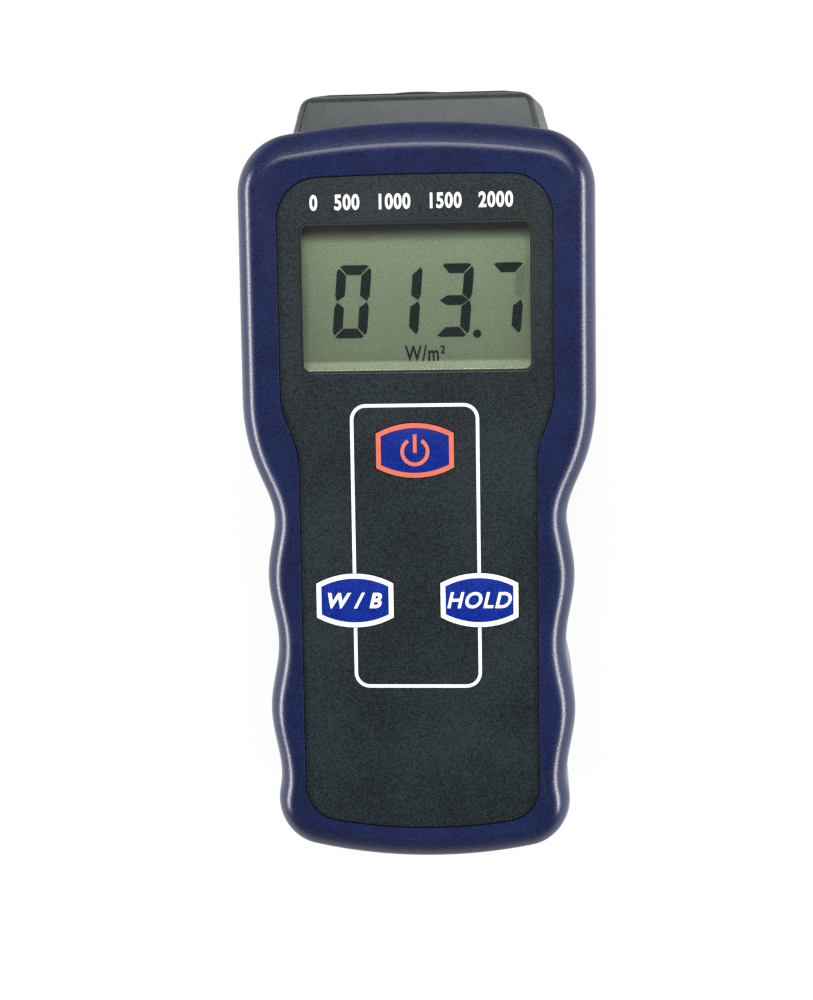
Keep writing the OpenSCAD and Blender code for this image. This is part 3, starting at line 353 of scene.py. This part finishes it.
def finish(name, dark, light, rough, grain=0.3, depth=0.02, blotch=6.0, metal=0.0, gloss=0.5):
    """A solid finish: its colour drifts between two tones, and a fine grain covers it.
    grain and blotch are in millimetres, and depth is how deep the grain is."""
    material, tree = blank_finish(name)
    shader = tree.nodes["Principled BSDF"]
    shader.inputs["Metallic"].default_value = metal
    shader.inputs["Specular IOR Level"].default_value = gloss
    place = tree.nodes.new("ShaderNodeTexCoord")
    fine = tree.nodes.new("ShaderNodeTexNoise")
    fine.inputs["Scale"].default_value = 1000 / grain
    fine.inputs["Detail"].default_value = 3
    broad = tree.nodes.new("ShaderNodeTexNoise")
    broad.inputs["Scale"].default_value = 1000 / blotch
    broad.inputs["Detail"].default_value = 4
    tones = tree.nodes.new("ShaderNodeMix")
    tones.data_type = "RGBA"
    tones.inputs[6].default_value = dark
    tones.inputs[7].default_value = light
    both = tree.nodes.new("ShaderNodeMath")
    both.operation = "MULTIPLY_ADD"
    both.inputs[1].default_value = 2.6
    wide = tree.nodes.new("ShaderNodeMapRange")
    wide.inputs["From Min"].default_value = 1.45
    wide.inputs["From Max"].default_value = 2.15
    sheen = tree.nodes.new("ShaderNodeMapRange")
    sheen.inputs["To Min"].default_value = rough - 0.06
    sheen.inputs["To Max"].default_value = rough + 0.06
    bump = tree.nodes.new("ShaderNodeBump")
    bump.inputs["Strength"].default_value = 1.0
    bump.inputs["Distance"].default_value = depth / 1000
    wired(tree,
          (place.outputs["Object"], fine.inputs["Vector"]),
          (place.outputs["Object"], broad.inputs["Vector"]),
          (fine.outputs["Fac"], both.inputs[0]),
          (broad.outputs["Fac"], both.inputs[2]),
          (both.outputs[0], wide.inputs["Value"]),
          (wide.outputs["Result"], tones.inputs[0]),
          (tones.outputs[2], shader.inputs["Base Color"]),
          (fine.outputs["Fac"], sheen.inputs["Value"]),
          (sheen.outputs["Result"], shader.inputs["Roughness"]),
          (fine.outputs["Fac"], bump.inputs["Height"]),
          (bump.outputs["Normal"], shader.inputs["Normal"]))
    return material


case_plastic = finish("case_plastic", as_seen(4, 14, 47), as_seen(18, 30, 73), 0.28,
                      grain=0.3, depth=0.012, blotch=5, gloss=0.5)
side_reach, head_reach, foot_reach = 3.8, 4.3, 3.6
case_ways = outward(case_line)
reaches = [side_reach + ((head_reach if n.y > 0 else foot_reach) - side_reach) * n.y * n.y
           for n in case_ways]
front_rings = [level(case_line, seam_z), level(case_line, 26), level(case_line, edge_z)]
for k in range(1, 17):
    a = math.pi / 2 * k / 16
    inwards = 1 - math.cos(a)
    # The edge is a quarter round at the sides and turns into a flat slope at the ends
    round_rise = math.sin(a)
    flat_rise = 0.52 * math.sqrt(min(1, inwards / 0.06)) + 0.48 * inwards
    ring = []
    for p, n, reach in zip(case_line, case_ways, reaches):
        slope = 0.75 * n.y * n.y
        rise = (1 - slope) * round_rise + slope * flat_rise
        ring.append(Vector((*(p - n * reach * inwards), edge_z + (crown_z - edge_z) * rise)))
    front_rings.append(ring)
pocket_z, film_z = 37.0, 37.4
pocket_line = drawn_in(overlay_line, -0.1)
crown, brink = front_rings[-1], level(drawn_in(pocket_line, -0.05), 37.7)
front_rings += [[a.lerp(b, k / 5) for a, b in zip(crown, brink)] for k in range(1, 6)]
front_rings += [level(pocket_line, 37.62), level(pocket_line, pocket_z)]
case_screws_at = [(22.9, 50), (19.2, -53.5), (-22.9, 50), (-19.2, -53.5)]
board_screws_at = [(13.94, 48.6), (18.1, -29.6), (-13.94, 48.6), (-18.1, -29.6)]
keys_at = {"power": (-0.4, 4.5), "unit": (-10.95, -20.9), "hold": (10.15, -20.9)}
key_w, key_l, key_end = 13.1, 9.2, 5.8
window_at = (0.15, 30)
neck_size = (46.6, 20.8, 2)
head_wall_y = 55


def key_line(at, grow):
    """The outline of a key: straight ends joined by two arches."""
    half, rise = key_w / 2 + grow, (key_l - key_end) / 2
    r = (key_w ** 2 / 4 + rise * rise) / (2 * rise) + grow
    mid = key_l / 2 + grow - r
    turn = math.asin(half / r)
    points = []
    for start, way in ((math.pi / 2, 1), (-math.pi / 2, -1)):
        for i in range(25):
            a = start - turn + 2 * turn * i / 24
            points.append(Vector((at[0] + r * math.cos(a), at[1] + way * mid + r * math.sin(a))))
    return points


def neck_section(w, t, side, gap, r):
    """The six-sided section of the head, in X and Z, with its corners rounded."""
    corners = [Vector(p) for p in (
        (-w / 2 + side - gap / 2, -t / 2 - gap), (w / 2 - side + gap / 2, -t / 2 - gap),
        (w / 2 + gap, 0), (w / 2 - side + gap / 2, t / 2 + gap),
        (-w / 2 + side - gap / 2, t / 2 + gap), (-w / 2 - gap, 0))]
    points = []
    for i, b in enumerate(corners):
        a, c = corners[i - 1], corners[(i + 1) % 6]
        u, v = (a - b).normalized(), (c - b).normalized()
        half = math.acos(max(-1, min(1, u.dot(v)))) / 2
        mid = b + (u + v).normalized() * r / math.sin(half)
        start, end = b + u * r / math.tan(half) - mid, b + v * r / math.tan(half) - mid
        turn = math.pi - 2 * half
        for k in range(9):
            way = start * math.sin(turn * (1 - k / 8)) + end * math.sin(turn * k / 8)
            points.append(mid + way / math.sin(turn))
    return points


def along_y(section, y0, y1):
    return stacked([[Vector((p.x, y, seam_z + p.y)) for p in section] for y in (y0, y1)])


def neck_opening():
    """The hole in the end wall, a little wider than the neck that stands in it."""
    return along_y(neck_section(*neck_size, 0.1, 0.6), 51.5, 70)


def cavity(distance, low, high):
    """The hollow of a shell, cut off where the solid wall behind the neck starts."""
    bm = slab(drawn_in(case_line, distance), low, high)
    bmesh.ops.bisect_plane(bm, geom=bm.verts[:] + bm.edges[:] + bm.faces[:], dist=0.0001,
                           plane_co=(0, head_wall_y, 0), plane_no=(0, 1, 0), clear_outer=True)
    bmesh.ops.holes_fill(bm, edges=[e for e in bm.edges if e.is_boundary], sides=0)
    bmesh.ops.recalc_face_normals(bm, faces=bm.faces)
    return bm


roof_z = 35.1
front_steps = [("DIFFERENCE", cavity(wall, seam_z - 0.5, 35.0))]
# Bosses for the screws of the case and of the board
front_steps += [("UNION", post(at, 6.6, seam_z + 0.1, roof_z)) for at in case_screws_at]
front_steps += [("UNION", post(at, 4.4, 29.6, roof_z)) for at in board_screws_at]
# Seat of the window, the opening below it, the room of the display, and the neck's opening
front_steps += [("DIFFERENCE", slab(corners_rounded(41.8, 28, 1.4, window_at), 36.0, crown_z)),
                ("DIFFERENCE", slab(corners_rounded(38.9, 25.1, 1.4, window_at), 34.0, crown_z)),
                ("DIFFERENCE", block(window_at[0] - 23.5, window_at[0] + 23.5,
                                     window_at[1] - 16.2, window_at[1] + 16.2, 34.5, 35.4)),
                ("DIFFERENCE", neck_opening())]
for at in keys_at.values():
    front_steps += [("DIFFERENCE", slab(key_line(at, 0.15), 36.3, crown_z)),
                    ("DIFFERENCE", post(at, 4.4, 34.5, 37.5))]
# Pilot holes in the bosses
front_steps += [("DIFFERENCE", post(at, 2.2, seam_z - 1, 26)) for at in case_screws_at]
front_steps += [("DIFFERENCE", post(at, 1.8, 29, 34)) for at in board_screws_at]
fitted("case_front_moulding", worked(stacked(front_rings), *front_steps), case_plastic,
       "meter", ["front_shell"])

# Rear shell. The lower half of the case in the same navy plastic, with round edges, a fine
# groove at the seam, wells for four screws, and the bay and rails for the battery and its
# cover.
rear_plastic = finish("rear_plastic", as_seen(8, 19, 52), as_seen(24, 34, 76), 0.3,
                      grain=0.3, depth=0.03, blotch=5)
back_edge_w, back_edge_h = 3.6, 6


def back_form(lift):
    """The solid form of the back, with its round edge, raised by a distance."""
    rings = []
    for k in range(14, -1, -1):
        a = math.pi / 2 * k / 14
        rings.append(level(drawn_in(case_line, back_edge_w * (1 - math.cos(a))),
                           lift + back_edge_h - back_edge_h * math.sin(a)))
    rings += [level(case_line, lift + 12), level(case_line, lift + seam_z - 0.3),
              level(drawn_in(case_line, 0.3), lift + seam_z)]
    return stacked(rings)


def cover_form(gap, low, high):
    """The section that slides: the visible plate with a tongue at each side."""
    half, wide, under, over = 14.6 + gap, 15.9 + gap, 1.1 - gap, 2.0 + gap
    section = [Vector(p) for p in ((-half, -0.5), (half, -0.5), (half, under), (wide, under),
                                   (wide, over), (-wide, over), (-wide, under), (-half, under))]
    return stacked([[Vector((p.x, y, p.y)) for p in section] for y in (low, high)])


rear_steps = [("DIFFERENCE", cavity(wall, 6, seam_z + 0.5)),
              ("DIFFERENCE", cavity(wall + 1.8, wall, 6.1))]
rear_steps += [("UNION", post(at, 6.6, 1.1, seam_z - 0.1)) for at in case_screws_at]
# Walls of the bay and the bed of its rails, then the bay itself and the hole for the leads
rear_steps += [("UNION", block(-15, 15, -62.4, -10.15, 1.1, 22.75)),
               ("UNION", block(-16.7, 16.7, -62.4, -6, 1.1, 3.4)),
               ("DIFFERENCE", block(-13.5, 13.5, -62.65, -11.65, 2.0, 21.25)),
               ("DIFFERENCE", block(-4.8, 4.8, -12, -9.5, 14.55, 18.45))]
# The way of the cover, the notch for its latch, and the neck's opening
rear_steps += [("DIFFERENCE", cover_form(0.1, -67, -8.9)),
               ("DIFFERENCE", block(-4.1, 4.1, -9, -7.4, 1.0, 2.1)),
               ("DIFFERENCE", neck_opening())]
for at in case_screws_at:
    rear_steps += [("DIFFERENCE", post(at, 2.6, -1, seam_z + 1)),
                   ("DIFFERENCE", post(at, 4.8, -1, 9))]
fitted("case_rear_moulding", worked(back_form(0), *rear_steps), rear_plastic,
       "meter", ["rear_shell"])


# Battery cover. A navy plate that slides off along two tongues, with a ridged hollow for the
# thumb, an arrow pressed in below it and a small latch at its upper end.
def softened(bm, edges, width, steps):
    """Rounds some edges of a form off."""
    bmesh.ops.bevel(bm, geom=edges, offset=width, offset_type="OFFSET", segments=steps,
                    profile=0.5, affect="EDGES", material=-1)


thumb_y, ridge_w, ridge_pitch = -24, 0.9, 2
cover_steps = [("INTERSECT", cover_form(0, -66.5, -9)),
               ("UNION", block(-4, 4, -9.1, -7.5, 1.1, 2.0)),
               ("DIFFERENCE", slab(corners_rounded(17, 12, 3, (0, thumb_y)), -0.5, 0.9))]
for k in range(-2, 3):
    ridge_y = thumb_y + k * ridge_pitch
    ridge = block(-5.5, 5.5, ridge_y - ridge_w / 2, ridge_y + ridge_w / 2, 0.4, 1.5)
    softened(ridge, [e for e in ridge.edges if all(v.co.z < 0.5 for v in e.verts)], 0.25, 3)
    cover_steps.append(("UNION", ridge))
arrow = [Vector(p) for p in ((-2.5, -36), (0, -41), (2.5, -36))]
cover_steps.append(("DIFFERENCE", slab(arrow, -0.5, 0.6)))
fitted("battery_cover_moulding", worked(back_form(0.2), *cover_steps), rear_plastic,
       "battery_door", ["battery_cover"])


# Screws. Zinc-plated steel screws with crossed slots: four long ones deep in the wells of the
# back hold the case, and small ones hold the main board and the board of the sensor.
def coated(material, *names):
    """Gives CAD pieces their finish and leaves their shape."""
    for name in names:
        nodes[name].data.materials.clear()
        nodes[name].data.materials.append(material)


screw_steel = finish("screw_steel", as_seen(150, 152, 156), as_seen(196, 198, 202), 0.3,
                     grain=0.5, depth=0.004, blotch=3, metal=1.0)
coated(screw_steel, "case_screws", "board_screws", "sensor_screws")


# Overlay. A dark grey film with a fine matt grain, stuck into the pocket of the front shell,
# with openings for the window and for the three keys.
def film(points, edge):
    """A flat piece of film that lies in the pocket, with its upper edge rounded off."""
    bm = slab(points, pocket_z, film_z)
    softened(bm, [e for e in bm.edges if all(v.co.z > film_z - 0.01 for v in e.verts)], edge, 2)
    return bm


overlay_film = finish("overlay_film", as_seen(12, 20, 22), as_seen(37, 45, 49), 0.42,
                      grain=0.3, depth=0.03, blotch=14, gloss=0.3)
film_openings = [corners_rounded(38.8, 25, 1.4, window_at)]
film_openings += [key_line(at, 0.15) for at in keys_at.values()]
overlay_steps = [("DIFFERENCE", slab(opening, 36.5, crown_z)) for opening in film_openings]
fitted("overlay_sheet", worked(film(overlay_line, 0.1), *overlay_steps), overlay_film,
       "meter", ["front_overlay"], sharp=12)

# White print on the overlay: the frame line that links the keys, and above the window a row
# of plain numbers, the range of the meter.
print_z = 37.45
white_print = finish("white_print", as_seen(232, 234, 235), as_seen(244, 245, 246), 0.5,
                     grain=0.12, depth=0.006, blotch=2)
coated(white_print, "printed_frame", "unit_key_edge", "hold_key_edge")


def lettering(name, words, x0, x1, y0, y1, low, high, material, body, lean=0.0, bold=0.0):
    """Flat printed characters that fill a box in X and Y, in millimetres."""
    type_face = bpy.data.curves.new(name, "FONT")
    type_face.body = words
    type_face.shear = lean
    type_face.space_character = 1.12
    type_face.offset = bold
    type_face.extrude = 0.05
    type_face.resolution_u = 6
    item = bpy.data.objects.new(name, type_face)
    scene.collection.objects.link(item)
    mesh = settled(item)
    bpy.data.objects.remove(item)
    bm = bmesh.new()
    bm.from_mesh(mesh)
    bpy.data.meshes.remove(mesh)
    bmesh.ops.remove_doubles(bm, verts=bm.verts, dist=0.0001)
    spots = [v.co for v in bm.verts]
    start = Vector([min(s[i] for s in spots) for i in range(3)])
    end = Vector([max(s[i] for s in spots) for i in range(3)])
    bmesh.ops.translate(bm, vec=-start, verts=bm.verts)
    size = end - start
    bmesh.ops.scale(bm, vec=((x1 - x0) / size.x, (y1 - y0) / size.y, (high - low) / size.z),
                    verts=bm.verts)
    bmesh.ops.translate(bm, vec=(x0, y0, low), verts=bm.verts)
    return fitted(name, bm, material, body)


lettering("range_numbers", "0   500   1000   1500   2000", -17.3, 16.4, 44.5, 47.1,
          film_z, print_z, white_print, "meter", bold=0.03)

# Display window. A clear acrylic lens glued from behind into the overlay opening, with a small
# bevel all round and a flange below.
clear_acrylic, tree = blank_finish("clear_acrylic")
shader = tree.nodes["Principled BSDF"]
shader.inputs["Base Color"].default_value = (0.97, 0.985, 0.975, 1)
shader.inputs["Transmission Weight"].default_value = 1.0
shader.inputs["IOR"].default_value = 1.49
shader.inputs["Specular IOR Level"].default_value = 0.06
place = tree.nodes.new("ShaderNodeTexCoord")
haze = tree.nodes.new("ShaderNodeTexNoise")
haze.inputs["Scale"].default_value = 220
haze_range = tree.nodes.new("ShaderNodeMapRange")
haze_range.inputs["To Min"].default_value = 0.01
haze_range.inputs["To Max"].default_value = 0.05
through = tree.nodes.new("ShaderNodeBsdfTransparent")
through.inputs["Color"].default_value = (0.95, 0.96, 0.95, 1)
path = tree.nodes.new("ShaderNodeLightPath")
either = tree.nodes.new("ShaderNodeMixShader")
wired(tree,
      (place.outputs["Object"], haze.inputs["Vector"]),
      (haze.outputs["Fac"], haze_range.inputs["Value"]),
      (haze_range.outputs["Result"], shader.inputs["Roughness"]),
      (path.outputs["Is Shadow Ray"], either.inputs[0]),
      (shader.outputs[0], either.inputs[1]),
      (through.outputs[0], either.inputs[2]),
      (either.outputs[0], tree.nodes["Material Output"].inputs["Surface"]))
flange = corners_rounded(41.6, 27.8, 1.4, window_at)
pane_side = corners_rounded(37.9, 24.1, 1.1, window_at)
pane_top = corners_rounded(37.7, 23.9, 1.0, window_at)
pane = stacked([level(flange, 36.0), level(flange, 36.95), level(pane_side, 36.95),
                level(pane_side, 37.27), level(pane_top, 37.35)])
fitted("window_lens", pane, clear_acrylic, "meter", ["display_window"], sharp=12)

# Window slit. A thin black strip that fills the slit between the window and the overlay, a dark
# piece put there as painted shade of the slit.
# Painted shade: a black finish that stands for the shade in the slit.
slit_shade_black = finish("slit_shade_black", as_seen(12, 13, 13), as_seen(22, 23, 23), 0.45, grain=0.3,
                       depth=0.02)
strip = worked(slab(corners_rounded(38.7, 24.9, 1.4, window_at), 37.02, 37.3),
               ("DIFFERENCE", slab(corners_rounded(37.96, 24.16, 1.1, window_at), 36.5, crown_z)))
fitted("window_slit_shade", strip, slit_shade_black, "meter")

# Keys. Three patches of blue film, each with a printed edge and its own sign, that press a
# plunger and a switch on the board below.
power_blue = finish("power_blue", as_seen(2, 26, 106), as_seen(14, 42, 132), 0.45,
                    grain=0.3, depth=0.015, blotch=3, gloss=0.15)
key_blue = finish("key_blue", as_seen(2, 28, 114), as_seen(14, 44, 142), 0.45,
                  grain=0.3, depth=0.015, blotch=3, gloss=0.15)
red_print = finish("red_print", as_seen(194, 92, 68), as_seen(216, 112, 86), 0.5,
                   grain=0.12, depth=0.006, blotch=2)
plunger_white = finish("plunger_white", as_seen(205, 206, 204), as_seen(222, 223, 220), 0.45)
switch_black = finish("switch_black", as_seen(24, 24, 26), as_seen(36, 36, 38), 0.4)
coated(red_print, "power_key_edge", "power_key_symbol")
for word, blue in (("power", power_blue), ("unit", key_blue), ("hold", key_blue)):
    fitted(word + "_key_patch", film(key_line(keys_at[word], 0), 0.08), blue,
           word + "_button", [word + "_key"])
    coated(plunger_white, word + "_plunger", word + "_switch_stem")
    coated(switch_black, word + "_switch")
lettering("unit_key_letters", "W / B", -15.55, -6.35, -22.25, -19.55, film_z, print_z,
          white_print, "unit_button", lean=0.25, bold=0.035)
lettering("hold_key_letters", "HOLD", 4.7, 15.6, -22.3, -19.5, film_z, print_z,
          white_print, "hold_button", lean=0.25, bold=0.022)

# Display. Two glasses in a dark frame: the rear one carries the grey-green reflector, the dark
# bars and the unit stand in front of it, and one bar is only faintly driven. Light and shade are
# painted into the reflector's colour along Y: a pale band at its lower edge is a painted
# highlight, a dark band at its upper edge is the painted shadow of the window's edge, and
# between them it grows lighter upward as painted light.
painted_light_reflector, tree = blank_finish("painted_light_reflector")
shader = tree.nodes["Principled BSDF"]
shader.inputs["Roughness"].default_value = 0.55
shader.inputs["Specular IOR Level"].default_value = 0.2
place = tree.nodes.new("ShaderNodeTexCoord")
parts = tree.nodes.new("ShaderNodeSeparateXYZ")
height = tree.nodes.new("ShaderNodeMapRange")
height.inputs["From Min"].default_value = (line_y + 14.5) / 1000
height.inputs["From Max"].default_value = (line_y + 45.5) / 1000
# Painted light: this ramp along Y paints a highlight band, a shadow band and a brightening upward.
tones = tree.nodes.new("ShaderNodeValToRGB")
tones.color_ramp.elements[0].position = 0.0
tones.color_ramp.elements[0].color = as_seen(154, 161, 140)
tones.color_ramp.elements[1].position = 1.0
tones.color_ramp.elements[1].color = as_seen(46, 46, 40)
# Up to 0.15 painted highlight band, 0.165 to 0.8 painted brightening upward, from 0.84 painted
# shadow band.
for share, tone in ((0.15, (148, 155, 134)), (0.165, (103, 110, 90)), (0.5, (111, 120, 100)),
                    (0.8, (120, 132, 109)), (0.84, (84, 88, 73)), (0.865, (50, 50, 43))):
    tones.color_ramp.elements.new(share).color = as_seen(*tone)
speckle = tree.nodes.new("ShaderNodeTexNoise")
speckle.inputs["Scale"].default_value = 3600
speckle.inputs["Detail"].default_value = 2
grain_tone = tree.nodes.new("ShaderNodeMapRange")
grain_tone.inputs["To Min"].default_value = 0.42
grain_tone.inputs["To Max"].default_value = 1.5
times = tree.nodes.new("ShaderNodeVectorMath")
times.operation = "SCALE"
wired(tree,
      (place.outputs["Object"], parts.inputs[0]),
      (parts.outputs["Y"], height.inputs["Value"]),
      (height.outputs["Result"], tones.inputs[0]),
      (place.outputs["Object"], speckle.inputs["Vector"]),
      (speckle.outputs["Fac"], grain_tone.inputs["Value"]),
      (tones.outputs["Color"], times.inputs[0]),
      (grain_tone.outputs["Result"], times.inputs["Scale"]),
      (times.outputs[0], shader.inputs["Base Color"]))
coated(painted_light_reflector, "lcd_rear_glass")
digit_dark = finish("digit_dark", as_seen(10, 20, 22), as_seen(18, 30, 31), 0.6, grain=0.1,
                    depth=0.002, blotch=4, gloss=0.0)
coated(digit_dark, "lcd_digits")
digit_faint = finish("digit_faint", as_seen(92, 104, 88), as_seen(100, 112, 94), 0.6, grain=0.1,
                     depth=0.002, blotch=4, gloss=0.0)
coated(digit_faint, "lcd_faint_segment")
frame_plastic = finish("frame_plastic", as_seen(38, 38, 40), as_seen(50, 50, 52), 0.5)
coated(frame_plastic, "lcd_frame")
strip_rubber = finish("strip_rubber", as_seen(196, 120, 108), as_seen(214, 138, 124), 0.6)
coated(strip_rubber, "zebra_strips")
lettering("unit_letters", "W/m²", -2.0, 4.8, 19.35, 22.0, 34.49, 34.55, digit_dark,
          "meter", bold=0.02)
front_glass, tree = blank_finish("front_glass")
tree.nodes.remove(tree.nodes["Principled BSDF"])
clear = tree.nodes.new("ShaderNodeBsdfTransparent")
clear.inputs["Color"].default_value = (0.96, 0.97, 0.95, 1)
shine = tree.nodes.new("ShaderNodeBsdfGlossy")
shine.inputs["Roughness"].default_value = 0.05
edge = tree.nodes.new("ShaderNodeFresnel")
edge.inputs["IOR"].default_value = 1.12
coat = tree.nodes.new("ShaderNodeMixShader")
wired(tree,
      (edge.outputs[0], coat.inputs[0]),
      (clear.outputs[0], coat.inputs[1]),
      (shine.outputs[0], coat.inputs[2]),
      (coat.outputs[0], tree.nodes["Material Output"].inputs["Surface"]))
coated(front_glass, "lcd_front_glass")

# Sensor head. A dark grey moulding with soft edges and an arched end that stands out of the
# case, held by a flange behind the end wall. Its end has a seat for the ring and the diffuser.
head_plastic = finish("head_plastic", as_seen(22, 28, 30), as_seen(46, 52, 54), 0.36,
                      grain=0.28, depth=0.03, blotch=4, gloss=0.4)
tip_w, tip_t, tip_r, tip_y = 43.4, 17, 1.56, 65.2
neck = neck_section(*neck_size, 0, 1.3)
tip = neck_section(tip_w, tip_t, 1.86, 0, tip_r)


def tip_point(x, z, back):
    """A point of the arched end, so far behind it as back says."""
    share = abs(x) / (tip_w / 2)
    return Vector((x, tip_y - back - (0.55 * share ** 2 + 1.35 * share ** 8), seam_z + z))


head_rings = [[Vector((p.x, y, seam_z + p.y)) for p in neck] for y in (53.5, head_wall_y, 56.3)]
for k in range(9):
    a = math.pi / 2 * k / 8
    shrink = tip_r * (1 - math.cos(a))
    head_rings.append([tip_point(p.x * (1 - shrink / (tip_w / 2)), p.y * (1 - shrink / (tip_t / 2)),
                                 tip_r - tip_r * math.sin(a)) for p in tip])
for share in (0.8, 0.6, 0.4, 0.2):
    head_rings.append([tip_point(p.x * share, p.y * share, 0) for p in tip])


def post_y(d, y0, y1):
    """A round post along the axis of the head."""
    bm = post((0, 0), d, 0, y1 - y0)
    bmesh.ops.rotate(bm, cent=(0, 0, 0), matrix=Matrix.Rotation(-math.pi / 2, 3, "X"),
                     verts=bm.verts)
    bmesh.ops.translate(bm, vec=(0, y0, seam_z), verts=bm.verts)
    return bm


# The flange, the hollow behind the end, and the seats of the diffuser and of the ring
head_steps = [("UNION", block(-21.3, 21.3, 53.5, 54.9, 6.1, 31.9)),
              ("DIFFERENCE", block(-18.5, 18.5, 50, 61.8, seam_z - 5.8, seam_z + 5.8)),
              ("DIFFERENCE", post_y(11.9, 59, 68)),
              ("DIFFERENCE", post_y(13.7, 63.9, 68))]
fitted("sensor_head_moulding", worked(stacked(head_rings), *head_steps), head_plastic,
       "meter", ["sensor_head"])

# Sensor window. A black turned ring pressed round an opal acrylic disc with a shallow dome,
# which takes the light from all sides down to the photodiode behind it.
ring_plastic = finish("ring_plastic", as_seen(30, 30, 32), as_seen(44, 44, 46), 0.35, grain=0.4,
                      depth=0.01)
opal_plastic = finish("opal_plastic", as_seen(226, 226, 220), as_seen(238, 238, 233), 0.4,
                      grain=0.2, depth=0.006)


def turned(profile):
    """A solid turned about the axis of the head; the profile is in radius and Y."""
    bm = bmesh.new()
    spots = [bm.verts.new((r, y, seam_z)) for r, y in profile]
    edges = [bm.edges.new(pair) for pair in zip(spots, spots[1:])]
    bmesh.ops.spin(bm, geom=spots + edges, cent=(0, 0, seam_z), axis=(0, 1, 0), dvec=(0, 0, 0),
                   angle=2 * math.pi, steps=72, use_merge=True)
    bmesh.ops.remove_doubles(bm, verts=bm.verts, dist=0.0005)
    bmesh.ops.recalc_face_normals(bm, faces=bm.faces)
    return bm


ring_in, ring_out = 5.3, 6.8
ring_low, ring_high = [corner.y * 1000 - line_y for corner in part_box("sensor_ring")]
fitted("sensor_ring_turned", turned([(ring_in, ring_low), (ring_out, ring_low),
                                     (ring_out, ring_high - 0.2), (ring_out - 0.2, ring_high),
                                     (ring_in + 0.3, ring_high), (ring_in, ring_high - 0.3),
                                     (ring_in, ring_low)]),
       ring_plastic, "meter", ["sensor_ring"])
disc_low, disc_high = [corner.y * 1000 - line_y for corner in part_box("diffuser")]
disc_r, dome_r, dome_rise = 5.9, 5.2, 1
ball_r = (dome_r ** 2 + dome_rise ** 2) / (2 * dome_rise)
disc = [(0, disc_low), (disc_r, disc_low), (disc_r, disc_high - dome_rise),
        (dome_r, disc_high - dome_rise)]
for k in range(1, 13):
    a = math.asin(dome_r / ball_r) * (1 - k / 12)
    disc.append((ball_r * math.sin(a), disc_high - ball_r + ball_r * math.cos(a)))
fitted("diffuser_disc", turned(disc), opal_plastic, "meter", ["diffuser"])

# Electronics. A green fibreglass board with its chips, crystal, capacitors, resistors and
# trimmer, and the small board of the sensor with its can and leads.
board_green = finish("board_green", as_seen(22, 78, 44), as_seen(34, 98, 58), 0.4, grain=0.4,
                     depth=0.01, blotch=8)
coated(board_green, "main_board", "sensor_board")
chip_black = finish("chip_black", as_seen(26, 26, 28), as_seen(40, 40, 42), 0.5)
coated(chip_black, "microcontroller", "amplifier_chip", "resistors")
can_metal = finish("can_metal", as_seen(176, 176, 172), as_seen(206, 206, 202), 0.3, depth=0.004,
                   metal=1.0)
coated(can_metal, "crystal")
sleeve = finish("sleeve", as_seen(30, 32, 60), as_seen(42, 44, 78), 0.35)
coated(sleeve, "capacitors")
trimmer_blue = finish("trimmer_blue", as_seen(36, 92, 168), as_seen(48, 108, 186), 0.4)
coated(trimmer_blue, "calibration_trimmer")
gold_can = finish("gold_can", as_seen(190, 170, 110), as_seen(216, 196, 140), 0.3, depth=0.004,
                  metal=1.0)
coated(gold_can, "photodiode")
lead_red = finish("lead_red", as_seen(170, 34, 30), as_seen(190, 46, 40), 0.4)
coated(lead_red, "sensor_leads")

# Battery. A nine-volt block in a plain printed steel jacket with rounded edges, its snap cap,
# two leads and a foam pad that keeps it from rattling.
jacket = finish("jacket", as_seen(40, 42, 46), as_seen(58, 60, 64), 0.3, grain=0.6, depth=0.004,
                metal=0.6)
low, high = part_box("battery")
cell = block(low.x * 1000, high.x * 1000, low.y * 1000 - line_y, high.y * 1000 - line_y,
             low.z * 1000, high.z * 1000)
softened(cell, cell.edges[:], 1.2, 5)
fitted("battery_block", cell, jacket, "meter", ["battery"])
terminal_metal = finish("terminal_metal", as_seen(170, 172, 174), as_seen(206, 208, 210), 0.28,
                        depth=0.004, metal=1.0)
coated(terminal_metal, "battery_terminals")
lead_black = finish("lead_black", as_seen(26, 26, 26), as_seen(38, 38, 38), 0.4)
coated(lead_black, "battery_snap", "battery_leads")
foam = finish("foam", as_seen(50, 50, 52), as_seen(74, 74, 76), 0.9, grain=0.6, depth=0.12)
coated(foam, "battery_pad")
